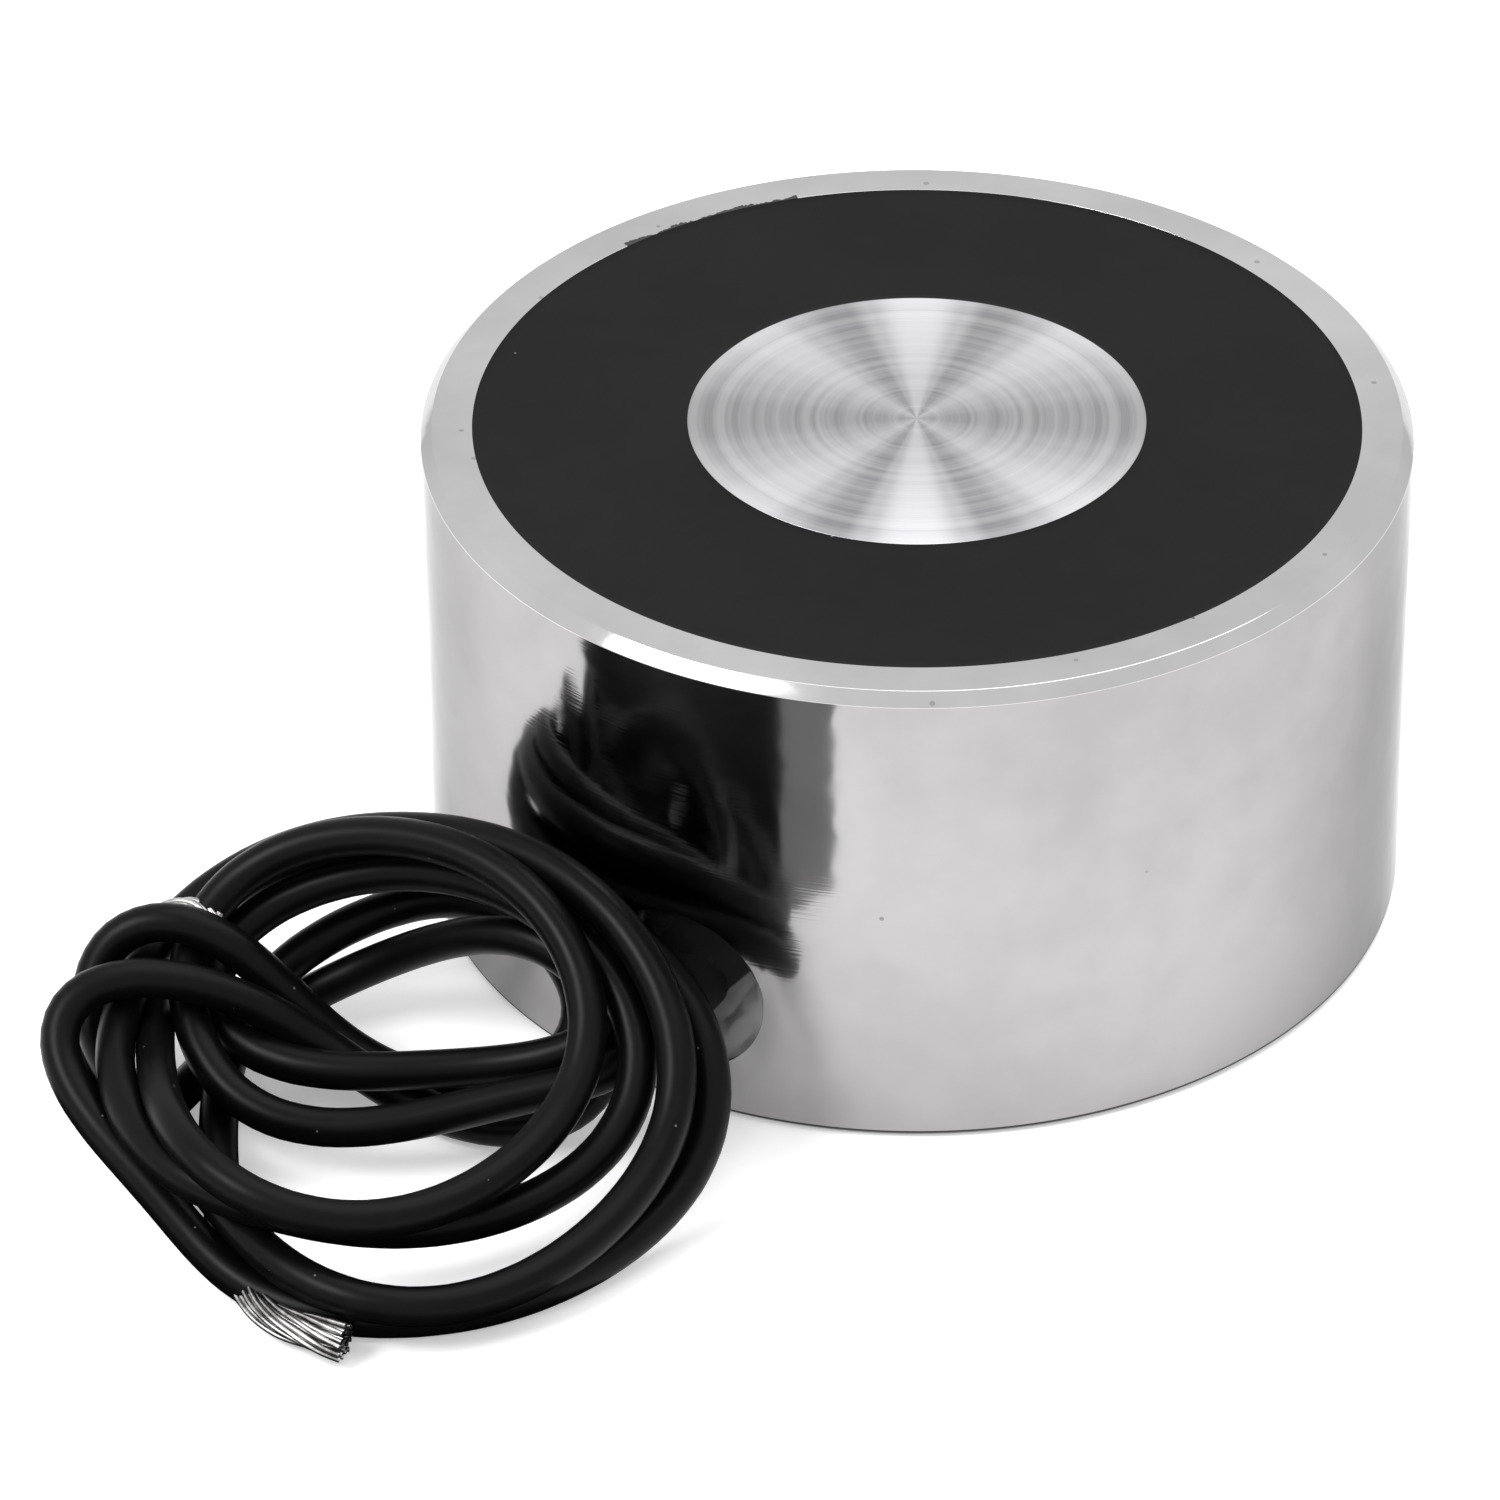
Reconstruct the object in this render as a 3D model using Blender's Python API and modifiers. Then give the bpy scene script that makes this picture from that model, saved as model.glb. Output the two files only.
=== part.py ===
# Holding electromagnet: a round steel pot magnet that stands on its back, holding face up,
# with two insulated leads that leave a hole in its side and lie in a loose coil beside it.
# The frame: the origin is the centre of the back face, +Z goes out through the holding face,
# and the lead outlet faces -Y. All sizes are in metres.

import math

import bmesh
import bpy
from mathutils import Matrix, Vector

# Steel pot and pole
OUTER_DIAMETER = 0.0762
HEIGHT = 0.0402
RIM_WALL = 0.0040
FLOOR_THICKNESS = 0.0088
POLE_DIAMETER = 0.0352
SPIGOT_DIAMETER = 0.0214
RIM_CHAMFER = 0.0009
BASE_CHAMFER = 0.0004
POLE_CHAMFER = 0.0003
POT_CORNER_RADIUS = 0.0010

# Tapped mounting hole in the back of the pole, at the tapping size of an M8 thread
MOUNT_BORE_DIAMETER = 0.0068
MOUNT_BORE_DEPTH = 0.0120
MOUNT_COUNTERSINK = 0.0008
DRILL_POINT_ANGLE = math.radians(118)

# Gap that pieces which touch on the real magnet keep here
CLEARANCE = 0.0003

# Bobbin, winding and resin
INSULATOR_THICKNESS = 0.0008
BOBBIN_TUBE_WALL = 0.0012
BOBBIN_FLANGE_THICKNESS = 0.0015
TAPE_THICKNESS = 0.0005
TAPE_SETBACK = 0.0011
RESIN_FACE_THICKNESS = 0.0042
RESIN_FACE_INSET = 0.0001

# Leads and their way out of the pot
LEAD_DIAMETER = 0.0030
LEAD_SPACING = 0.0004
LEAD_BEND_RADIUS = 0.0042
OUTLET_DIAMETER = 0.0138
OUTLET_HEIGHT = 0.0106
OUTLET_BREAKTHROUGH = 0.0012
LEAD_RISE_IN_OUTLET = 0.0010
PLUG_DEPTH = 0.0030
PLUG_RECESS = 0.0007
PLUG_MENISCUS = 0.0004
SLEEVE_WALL = 0.0004
SLEEVE_REACH = 0.0032

# Soldered joints between the leads and the winding's two wire ends
SPLICE_DIAMETER = 0.0032
SPLICE_START_ANGLE = math.radians(24)
SPLICE_LENGTH = 0.0090
MAGNET_WIRE_DIAMETER = 0.0008
MAGNET_WIRE_LENGTH = 0.0070

# Coil of spare lead, leaning on the pot: its centre is x, distance out from the wall, height
COIL_MEAN_RADIUS = 0.0183
COIL_HALF_WIDTH = 0.0052
COIL_HALF_HEIGHT = 0.0044
COIL_CENTRE = (-0.0172, 0.0190, 0.0092)
COIL_LEAN = math.radians(20)
COIL_HEADING = math.radians(29)
COIL_WALL_GAP = 0.0005

# Bare tinned ends of the leads
TINNED_DIAMETER = 0.0021

# Route of each lead from its sleeve to the coil: x, distance out from the pot's wall, height
LEAD_A_ROUTE = (
    (-0.0029, 0.0060, 0.0106),
    (-0.0056, 0.0074, 0.0084),
    (-0.0092, 0.0083, 0.0061),
    (-0.0135, 0.0100, 0.0049),
    (-0.0185, 0.0126, 0.0048),
    (-0.0225, 0.0148, 0.0048),
    (-0.0258, 0.0158, 0.0052),
)
LEAD_B_ROUTE = (
    (0.0014, 0.0064, 0.0109),
    (-0.0008, 0.0096, 0.0089),
    (-0.0044, 0.0114, 0.0066),
    (-0.0084, 0.0132, 0.0051),
    (-0.0118, 0.0156, 0.0048),
    (-0.0152, 0.0186, 0.0048),
    (-0.0200, 0.0206, 0.0048),
    (-0.0260, 0.0209, 0.0052),
)

# Route of each tinned end, in the same way
TINNED_A_ROUTE = (
    (-0.0150, 0.0383, 0.0011),
    (-0.0106, 0.0396, 0.0011),
    (-0.0058, 0.0404, 0.0011),
)
TINNED_B_ROUTE = (
    (-0.0350, 0.0123, 0.0140),
    (-0.0377, 0.0129, 0.0141),
    (-0.0405, 0.0135, 0.0142),
)

# Fineness of the round shapes
POT_SEGMENTS = 96
INNER_SEGMENTS = 48
HOLE_SEGMENTS = 48
COIL_SEGMENTS = 48
COIL_SECTION_POINTS = 14
CURVE_STEP = 2.2
MERGE_DISTANCE = 0.00001

# Sizes that follow from the ones above
OUTER_RADIUS = OUTER_DIAMETER / 2
BORE_RADIUS = OUTER_RADIUS - RIM_WALL
POLE_RADIUS = POLE_DIAMETER / 2
SPIGOT_RADIUS = SPIGOT_DIAMETER / 2
LEAD_RADIUS = LEAD_DIAMETER / 2
LEAD_OFFSET = (LEAD_DIAMETER + LEAD_SPACING) / 2
LEAD_LEVEL = OUTLET_HEIGHT + LEAD_RISE_IN_OUTLET
LEAD_RUN_RADIUS = BORE_RADIUS - CLEARANCE - max(LEAD_DIAMETER, SPLICE_DIAMETER) / 2
FLANGE_RADIUS = LEAD_RUN_RADIUS - max(LEAD_DIAMETER, SPLICE_DIAMETER) / 2 - CLEARANCE
BOBBIN_BASE = FLOOR_THICKNESS + INSULATOR_THICKNESS + 2 * CLEARANCE
BOBBIN_TOP = HEIGHT - RESIN_FACE_THICKNESS - CLEARANCE
TUBE_INNER_RADIUS = POLE_RADIUS + CLEARANCE
TUBE_OUTER_RADIUS = TUBE_INNER_RADIUS + BOBBIN_TUBE_WALL
WINDING_INNER_RADIUS = TUBE_OUTER_RADIUS + CLEARANCE
WINDING_BASE = BOBBIN_BASE + BOBBIN_FLANGE_THICKNESS + CLEARANCE
WINDING_TOP = BOBBIN_TOP - BOBBIN_FLANGE_THICKNESS - CLEARANCE
TAPE_OUTER_RADIUS = FLANGE_RADIUS - TAPE_SETBACK
TAPE_INNER_RADIUS = TAPE_OUTER_RADIUS - TAPE_THICKNESS
WINDING_OUTER_RADIUS = TAPE_INNER_RADIUS - CLEARANCE
SKIRT_INNER_RADIUS = FLANGE_RADIUS + CLEARANCE
SKIRT_OUTER_RADIUS = BORE_RADIUS - CLEARANCE
SKIRT_BASE = LEAD_LEVEL + max(LEAD_DIAMETER, SPLICE_DIAMETER) / 2 + CLEARANCE
BEND_CENTRE_X = LEAD_OFFSET + LEAD_BEND_RADIUS
BEND_CENTRE_Y = math.sqrt((LEAD_RUN_RADIUS + LEAD_BEND_RADIUS) ** 2 - BEND_CENTRE_X ** 2)


def clear_scene():
    for item in list(bpy.data.objects):
        bpy.data.objects.remove(item, do_unlink=True)


def make_collection(name):
    group = bpy.data.collections.new(name)
    bpy.context.scene.collection.children.link(group)
    return group


def make_material(name, colour, roughness, metallic):
    material = bpy.data.materials.new(name)
    material.use_nodes = True
    shader = material.node_tree.nodes["Principled BSDF"]
    shader.inputs["Base Color"].default_value = (*colour, 1.0)
    shader.inputs["Roughness"].default_value = roughness
    shader.inputs["Metallic"].default_value = metallic
    return material


def add_object(name, data, group, material=None):
    item = bpy.data.objects.new(name, data)
    group.objects.link(item)
    if material is not None:
        data.materials.append(material)
    return item


def mesh_from(build):
    # The mesh that the given function makes in an empty bmesh
    shape = bmesh.new()
    build(shape)
    mesh = bpy.data.meshes.new("shape")
    shape.to_mesh(mesh)
    shape.free()
    return mesh


def turned(name, profile, segments, group, material, closed=True):
    # A turned piece: its profile, a list of radius and height, goes round the Z axis
    def outline(shape):
        corners = [shape.verts.new((radius, 0.0, height)) for radius, height in profile]
        for first, second in zip(corners, corners[1:]):
            shape.edges.new((first, second))
        if closed:
            shape.edges.new((corners[-1], corners[0]))

    item = add_object(name, mesh_from(outline), group, material)
    screw = item.modifiers.new("Turn", "SCREW")
    screw.axis = "Z"
    screw.steps = segments
    screw.render_steps = segments
    screw.use_merge_vertices = True
    screw.merge_threshold = MERGE_DISTANCE
    screw.use_smooth_shade = True
    return item


def cylinder_mesh(radius, near, far):
    # A cylinder along -Y, from one distance out of the origin to another
    turn = Matrix.Rotation(math.radians(90), 4, "X")
    place = Matrix.Translation((0.0, -(near + far) / 2, 0.0))

    def build(shape):
        bmesh.ops.create_cone(
            shape, cap_ends=True, segments=HOLE_SEGMENTS, radius1=radius, radius2=radius,
            depth=far - near, matrix=place @ turn)

    return mesh_from(build)


def cut(item, cutter):
    # Takes the cutter away from the item
    cutter.hide_render = True
    cutter.display_type = "WIRE"
    boolean = item.modifiers.new("Cut " + cutter.name, "BOOLEAN")
    boolean.operation = "DIFFERENCE"
    boolean.solver = "EXACT"
    boolean.object = cutter


def smooth_points(points, spacing):
    # Points about one spacing apart on a Catmull-Rom curve through the given points
    route = [Vector(point) for point in points]
    route = [2 * route[0] - route[1]] + route + [2 * route[-1] - route[-2]]
    result = []
    for before, start, end, after in zip(route, route[1:], route[2:], route[3:]):
        count = max(1, round((end - start).length / spacing))
        for step in range(count):
            t = step / count
            result.append(0.5 * (
                2 * start + (end - before) * t
                + (2 * before - 5 * start + 4 * end - after) * t ** 2
                + (3 * start - before - 3 * end + after) * t ** 3))
    result.append(route[-2])
    return result


def tube(name, points, diameter, group, material, sides=2):
    # A round wire or sleeve along the given points
    curve = bpy.data.curves.new(name, "CURVE")
    curve.dimensions = "3D"
    curve.bevel_depth = diameter / 2
    curve.bevel_resolution = sides
    curve.use_fill_caps = True
    curve.render_resolution_u = 0
    line = curve.splines.new("POLY")
    line.points.add(len(points) - 1)
    for spot, point in zip(line.points, points):
        spot.co = (*point, 1.0)
    line.use_smooth = True
    return add_object(name, curve, group, material)


def stadium_mesh(half_spacing, radius, near, far):
    # A solid along -Y whose section is two half circles joined by straight sides
    def build(shape):
        count = HOLE_SEGMENTS // 2
        outline = []
        for side in (1, -1):
            for step in range(count + 1):
                angle = side * math.pi / 2 - math.pi * step / count
                outline.append((
                    side * half_spacing + radius * math.cos(angle),
                    LEAD_LEVEL + radius * math.sin(angle)))
        corners = [shape.verts.new((x, -near, z)) for x, z in outline]
        face = shape.faces.new(corners)
        grown = bmesh.ops.extrude_face_region(shape, geom=[face])
        moved = [part for part in grown["geom"] if isinstance(part, bmesh.types.BMVert)]
        bmesh.ops.translate(shape, verts=moved, vec=(0.0, near - far, 0.0))
        bmesh.ops.recalc_face_normals(shape, faces=shape.faces)

    return mesh_from(build)


def outside_route(points):
    # Route points measured out from the pot's wall, as places in the part's frame
    return [Vector((x, -OUTER_RADIUS - out, height)) for x, out, height in points]


def lead_inside(side):
    # Centre line of a lead from its splice round the winding and out through the outlet
    tangent_angle = math.atan2(BEND_CENTRE_X, BEND_CENTRE_Y)
    points = []
    run_steps = 4
    for step in range(run_steps):
        angle = SPLICE_START_ANGLE + (tangent_angle - SPLICE_START_ANGLE) * step / run_steps
        points.append((LEAD_RUN_RADIUS * math.sin(angle), LEAD_RUN_RADIUS * math.cos(angle)))
    bend_steps = 6
    for step in range(bend_steps + 1):
        angle = (math.pi / 2 - tangent_angle) * (1 - step / bend_steps)
        points.append((
            BEND_CENTRE_X - LEAD_BEND_RADIUS * math.cos(angle),
            BEND_CENTRE_Y - LEAD_BEND_RADIUS * math.sin(angle)))
    points.append((LEAD_OFFSET, OUTER_RADIUS + SLEEVE_REACH))
    return [Vector((side * x, -y, LEAD_LEVEL)) for x, y in points]


def make_pot(group, cutters, steel):
    corner = [
        (BORE_RADIUS - POT_CORNER_RADIUS * (1 - math.sin(angle)),
         FLOOR_THICKNESS + POT_CORNER_RADIUS * (1 - math.cos(angle)))
        for angle in (0.0, math.pi / 6, math.pi / 3, math.pi / 2)]
    profile = [
        (BORE_RADIUS, HEIGHT),
        (OUTER_RADIUS - RIM_CHAMFER, HEIGHT),
        (OUTER_RADIUS, HEIGHT - RIM_CHAMFER),
        (OUTER_RADIUS, BASE_CHAMFER),
        (OUTER_RADIUS - BASE_CHAMFER, 0.0),
        (SPIGOT_RADIUS + CLEARANCE, 0.0),
        (SPIGOT_RADIUS + CLEARANCE, FLOOR_THICKNESS),
        *corner]
    pot = turned("pot_shell", profile, POT_SEGMENTS, group, steel)
    drill = add_object(
        "outlet_drill",
        cylinder_mesh(OUTLET_DIAMETER / 2, BORE_RADIUS - OUTLET_BREAKTHROUGH,
                      OUTER_RADIUS + RIM_WALL), cutters)
    drill.location.z = OUTLET_HEIGHT
    cut(pot, drill)


def make_pole(group, steel):
    bore = MOUNT_BORE_DIAMETER / 2
    point_height = bore / math.tan(DRILL_POINT_ANGLE / 2)
    profile = [
        (0.0, HEIGHT),
        (POLE_RADIUS - POLE_CHAMFER, HEIGHT),
        (POLE_RADIUS, HEIGHT - POLE_CHAMFER),
        (POLE_RADIUS, FLOOR_THICKNESS + CLEARANCE),
        (SPIGOT_RADIUS, FLOOR_THICKNESS + CLEARANCE),
        (SPIGOT_RADIUS, POLE_CHAMFER),
        (SPIGOT_RADIUS - POLE_CHAMFER, 0.0),
        (bore + MOUNT_COUNTERSINK, 0.0),
        (bore, MOUNT_COUNTERSINK),
        (bore, MOUNT_BORE_DEPTH),
        (0.0, MOUNT_BORE_DEPTH + point_height)]
    turned("pole_core", profile, POT_SEGMENTS, group, steel, closed=False)


def ring_profile(inner, outer, base, top):
    return [(inner, top), (outer, top), (outer, base), (inner, base)]


def make_winding(group, paper, nylon, copper, film):
    turned("base_insulator", ring_profile(
        TUBE_INNER_RADIUS, FLANGE_RADIUS, FLOOR_THICKNESS + CLEARANCE,
        FLOOR_THICKNESS + CLEARANCE + INSULATOR_THICKNESS), INNER_SEGMENTS, group, paper)
    bobbin = [
        (TUBE_INNER_RADIUS, BOBBIN_TOP),
        (FLANGE_RADIUS, BOBBIN_TOP),
        (FLANGE_RADIUS, BOBBIN_TOP - BOBBIN_FLANGE_THICKNESS),
        (TUBE_OUTER_RADIUS, BOBBIN_TOP - BOBBIN_FLANGE_THICKNESS),
        (TUBE_OUTER_RADIUS, BOBBIN_BASE + BOBBIN_FLANGE_THICKNESS),
        (FLANGE_RADIUS, BOBBIN_BASE + BOBBIN_FLANGE_THICKNESS),
        (FLANGE_RADIUS, BOBBIN_BASE),
        (TUBE_INNER_RADIUS, BOBBIN_BASE)]
    turned("bobbin", bobbin, INNER_SEGMENTS, group, nylon)
    turned("winding", ring_profile(
        WINDING_INNER_RADIUS, WINDING_OUTER_RADIUS, WINDING_BASE, WINDING_TOP),
        INNER_SEGMENTS, group, copper)
    turned("winding_tape", ring_profile(
        TAPE_INNER_RADIUS, TAPE_OUTER_RADIUS, WINDING_BASE, WINDING_TOP),
        INNER_SEGMENTS, group, film)


def make_resin(group, resin):
    face = HEIGHT - RESIN_FACE_INSET
    under = HEIGHT - RESIN_FACE_THICKNESS
    profile = [
        (TUBE_INNER_RADIUS, face),
        (SKIRT_OUTER_RADIUS, face),
        (SKIRT_OUTER_RADIUS, SKIRT_BASE),
        (SKIRT_INNER_RADIUS, SKIRT_BASE),
        (SKIRT_INNER_RADIUS, under),
        (TUBE_INNER_RADIUS, under)]
    turned("resin_ring", profile, POT_SEGMENTS, group, resin)


def make_outlet(group, cutters, resin, sleeving):
    plug_radius = OUTLET_DIAMETER / 2 - CLEARANCE
    plug_face = OUTER_RADIUS - PLUG_RECESS
    # The plug's profile, turned about Z and then laid along -Y: its face sags in the middle
    profile = [
        (0.0, plug_face - PLUG_MENISCUS),
        (plug_radius * 0.7, plug_face - PLUG_MENISCUS * 0.7),
        (plug_radius * 0.92, plug_face - PLUG_MENISCUS * 0.2),
        (plug_radius, plug_face),
        (plug_radius, plug_face - PLUG_DEPTH),
        (0.0, plug_face - PLUG_DEPTH)]
    plug = turned("outlet_plug", profile, HOLE_SEGMENTS, group, resin, closed=False)
    plug.rotation_euler.x = math.radians(90)
    plug.location.z = OUTLET_HEIGHT

    sleeve_inner = LEAD_RADIUS + CLEARANCE
    sleeve_outer = sleeve_inner + SLEEVE_WALL
    sleeve_start = BEND_CENTRE_Y + CLEARANCE
    sleeve_end = OUTER_RADIUS + SLEEVE_REACH
    sleeve = add_object(
        "outlet_sleeve", stadium_mesh(LEAD_OFFSET, sleeve_outer, sleeve_start, sleeve_end),
        group, sleeving)
    way_through = add_object(
        "sleeve_way", stadium_mesh(LEAD_OFFSET, sleeve_inner, sleeve_start - RIM_WALL,
                                   sleeve_end + RIM_WALL), cutters)
    cut(sleeve, way_through)

    seat = add_object(
        "sleeve_seat", stadium_mesh(LEAD_OFFSET, sleeve_outer + CLEARANCE,
                                    sleeve_start - CLEARANCE, sleeve_end + CLEARANCE), cutters)
    cut(plug, seat)
    for side, letter in ((-1, "a"), (1, "b")):
        cut_way(plug, "plug_way_" + letter, lead_inside(side), LEAD_DIAMETER, cutters)
    return seat


def cut_way(item, name, points, diameter, cutters):
    # Clears the way of a wire through an item, past both ends of the wire
    start = points[0] + (points[0] - points[1]).normalized() * CLEARANCE
    end = points[-1] + (points[-1] - points[-2]).normalized() * CLEARANCE
    route = [start] + points[1:-1] + [end]
    curve = tube(name + "_curve", route, diameter + 2 * CLEARANCE, cutters, None)
    cut(item, mesh_copy(curve, name, cutters))


def mesh_copy(curve_object, name, group):
    # The closed mesh of a curve, which then takes the curve's place
    view = bpy.context.evaluated_depsgraph_get()
    mesh = bpy.data.meshes.new_from_object(curve_object.evaluated_get(view))
    shape = bmesh.new()
    shape.from_mesh(mesh)
    bmesh.ops.remove_doubles(shape, verts=shape.verts, dist=MERGE_DISTANCE)
    shape.to_mesh(mesh)
    shape.free()
    item = add_object(name, mesh, group)
    item.matrix_world = curve_object.matrix_world
    bpy.data.objects.remove(curve_object, do_unlink=True)
    return item


def make_joints(group, sleeving, enamel):
    # A splice lies against the pot's wall in line with its lead, and the wire goes on from it
    gap_angle = CLEARANCE / LEAD_RUN_RADIUS
    splice_end = SPLICE_START_ANGLE + gap_angle + SPLICE_LENGTH / LEAD_RUN_RADIUS
    wire_start = splice_end + gap_angle
    wire_end = wire_start + MAGNET_WIRE_LENGTH / LEAD_RUN_RADIUS
    wire_end_radius = TAPE_OUTER_RADIUS + CLEARANCE + MAGNET_WIRE_DIAMETER / 2
    wire_end_level = WINDING_BASE + MAGNET_WIRE_DIAMETER / 2
    steps = 6
    for side, letter in ((-1, "a"), (1, "b")):
        splice = []
        wire = []
        for step in range(steps + 1):
            share = step / steps
            angle = SPLICE_START_ANGLE + gap_angle
            angle += (splice_end - SPLICE_START_ANGLE - gap_angle) * share
            splice.append((side * LEAD_RUN_RADIUS * math.sin(angle),
                           -LEAD_RUN_RADIUS * math.cos(angle), LEAD_LEVEL))
            eased = share * share * (3 - 2 * share)
            angle = wire_start + (wire_end - wire_start) * share
            radius = LEAD_RUN_RADIUS + (wire_end_radius - LEAD_RUN_RADIUS) * eased
            level = LEAD_LEVEL + (wire_end_level - LEAD_LEVEL) * min(1.0, 2 * eased)
            wire.append((side * radius * math.sin(angle), -radius * math.cos(angle), level))
        tube("splice_sleeve_" + letter, splice, SPLICE_DIAMETER, group, sleeving)
        tube("magnet_wire_" + letter, wire, MAGNET_WIRE_DIAMETER, group, enamel)


def lead_points(side, route):
    # Centre line of a whole lead, inside the pot and outside it up to the coil
    inside = lead_inside(side)
    outside = smooth_points([inside[-1]] + outside_route(route), CURVE_STEP * LEAD_DIAMETER)
    return inside + outside[1:]


def make_leads(group, insulation, tin):
    # The leads and their bare ends, and the way of each as name, points and diameter
    ways = []
    routes = ((-1, "a", LEAD_A_ROUTE, TINNED_A_ROUTE), (1, "b", LEAD_B_ROUTE, TINNED_B_ROUTE))
    for side, letter, route, end_route in routes:
        points = lead_points(side, route)
        tube("lead_" + letter, points, LEAD_DIAMETER, group, insulation)
        ways.append(("lead_way_" + letter, points, LEAD_DIAMETER))
        end = smooth_points(outside_route(end_route), TINNED_DIAMETER)
        tube("tinned_end_" + letter, end, TINNED_DIAMETER, group, tin)
        ways.append(("tinned_way_" + letter, end, TINNED_DIAMETER))
    return ways


def make_coil(ways, sleeve_seat, group, cutters, insulation):
    # The coil's outer shape: a turned ring that leans on the pot, lies flat on the ground and
    # leaves the given ways free
    section = []
    for step in range(COIL_SECTION_POINTS):
        angle = math.tau * step / COIL_SECTION_POINTS
        section.append((
            COIL_MEAN_RADIUS + COIL_HALF_WIDTH * math.sin(angle),
            COIL_HALF_HEIGHT * math.cos(angle)))
    coil = turned("lead_coil", section, COIL_SEGMENTS, group, insulation)
    x, out, height = COIL_CENTRE
    coil.location = (x, -OUTER_RADIUS - out, height)
    coil.rotation_euler = (COIL_LEAN, 0.0, COIL_HEADING)

    wall = turned("pot_space", [
        (0.0, HEIGHT), (OUTER_RADIUS + COIL_WALL_GAP, HEIGHT),
        (OUTER_RADIUS + COIL_WALL_GAP, -HEIGHT), (0.0, -HEIGHT)],
        POT_SEGMENTS, cutters, None, closed=False)
    cut(coil, wall)

    def build_ground(shape):
        bmesh.ops.create_cube(shape, size=1.0, matrix=Matrix.Diagonal(
            (OUTER_DIAMETER * 2, OUTER_DIAMETER * 2, HEIGHT, 1.0)))

    ground = add_object("ground_space", mesh_from(build_ground), cutters)
    ground.location = (x, -OUTER_RADIUS - out, -HEIGHT / 2)
    cut(coil, ground)
    cut(coil, sleeve_seat)
    for name, points, diameter in ways:
        cut_way(coil, name, points, diameter, cutters)


def main():
    clear_scene()
    group = make_collection("holding_electromagnet")
    cutters = make_collection("cutters")
    steel = make_material("nickel_plated_steel", (0.62, 0.61, 0.60), 0.18, 1.0)
    resin = make_material("black_epoxy", (0.020, 0.020, 0.021), 0.35, 0.0)
    paper = make_material("fibre_paper", (0.30, 0.22, 0.12), 0.80, 0.0)
    nylon = make_material("natural_nylon", (0.72, 0.69, 0.60), 0.50, 0.0)
    copper = make_material("enamelled_copper", (0.52, 0.20, 0.08), 0.35, 0.9)
    film = make_material("polyester_tape", (0.72, 0.55, 0.12), 0.40, 0.0)
    sleeving = make_material("black_sleeving", (0.012, 0.012, 0.013), 0.55, 0.0)
    insulation = make_material("black_pvc", (0.016, 0.016, 0.017), 0.42, 0.0)
    tin = make_material("tinned_copper", (0.70, 0.69, 0.66), 0.30, 1.0)

    make_pot(group, cutters, steel)
    make_pole(group, steel)
    make_winding(group, paper, nylon, copper, film)
    make_resin(group, resin)
    sleeve_seat = make_outlet(group, cutters, resin, sleeving)
    make_joints(group, sleeving, copper)
    ways = make_leads(group, insulation, tin)
    make_coil(ways, sleeve_seat, group, cutters, insulation)


main()
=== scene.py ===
# %% [markdown]
# A round holding magnet stands on its back on a pale table, with its two black leads
# lying beside it in a loose coil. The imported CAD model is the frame: it fixes where every
# piece goes and how big it is. This lesson loads that frame, sets up the camera, and then
# builds each visible piece and its finish around it. All lengths are in metres.

import math

import bmesh
import bpy
import numpy as np
from mathutils import Matrix, Quaternion, Vector


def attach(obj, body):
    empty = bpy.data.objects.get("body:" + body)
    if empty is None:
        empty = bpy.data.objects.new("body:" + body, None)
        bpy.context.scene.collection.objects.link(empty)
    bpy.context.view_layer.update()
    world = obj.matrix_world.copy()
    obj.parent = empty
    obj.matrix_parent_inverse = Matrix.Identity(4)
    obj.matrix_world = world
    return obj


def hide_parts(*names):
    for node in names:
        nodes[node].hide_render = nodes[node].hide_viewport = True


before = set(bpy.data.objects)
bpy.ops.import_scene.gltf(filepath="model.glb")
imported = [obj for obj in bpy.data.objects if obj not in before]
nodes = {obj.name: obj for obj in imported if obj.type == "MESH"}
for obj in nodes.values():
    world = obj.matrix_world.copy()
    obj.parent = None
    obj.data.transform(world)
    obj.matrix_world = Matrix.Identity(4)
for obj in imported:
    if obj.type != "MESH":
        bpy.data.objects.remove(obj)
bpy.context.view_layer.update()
MM = 0.001

# %% [markdown]
# The camera comes first, because every later choice is judged through it. The magnet was
# photographed with a long lens from a good half metre away, well above the table, so its
# round face shows as a wide oval. The lens is long enough that the walls look nearly
# parallel. The lead outlet of the part faces -Y, and the camera stands to the right of it.

# %% Camera
CAMERA_PLACE = Vector((0.25942, -0.49503, 0.39499))
CAMERA_TARGET = Vector((-0.01135, -0.00629, 0.00941))
CAMERA_ROLL = math.radians(-0.42)
SENSOR = 36.0
LENS = 206.96

camera_data = bpy.data.cameras.new("photo_camera")
camera_data.sensor_width = SENSOR
camera_data.lens = LENS
camera_data.clip_start = 0.05
camera_data.clip_end = 20.0
camera = bpy.data.objects.new("photo_camera", camera_data)
bpy.context.scene.collection.objects.link(camera)
camera.location = CAMERA_PLACE
camera.rotation_mode = "QUATERNION"
aim = (CAMERA_TARGET - CAMERA_PLACE).to_track_quat("-Z", "Y")
camera.rotation_quaternion = aim @ Quaternion((0.0, 0.0, 1.0), CAMERA_ROLL)
bpy.context.scene.camera = camera
print("camera distance, mm", round((CAMERA_TARGET - CAMERA_PLACE).length / MM, 1))

# %% [markdown]
# Polished nickel shows its surroundings more than its own colour. Seen from above, the
# upright wall mirrors the table, and the flat faces mirror the room. So the studio is
# plain and white all round: a pale table, lit from below a little as a light table is,
# which keeps the shadows faint, an even white room and large soft lamps.

# %% Table and lamps
TABLE_HALF = 1500.0
TABLE_DROP = -0.1

def fill(made, **values):
    # Values for a node's sockets, an underscore standing for the space in a name
    for label, value in values.items():
        made.inputs[label.replace("_", " ")].default_value = value

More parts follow.
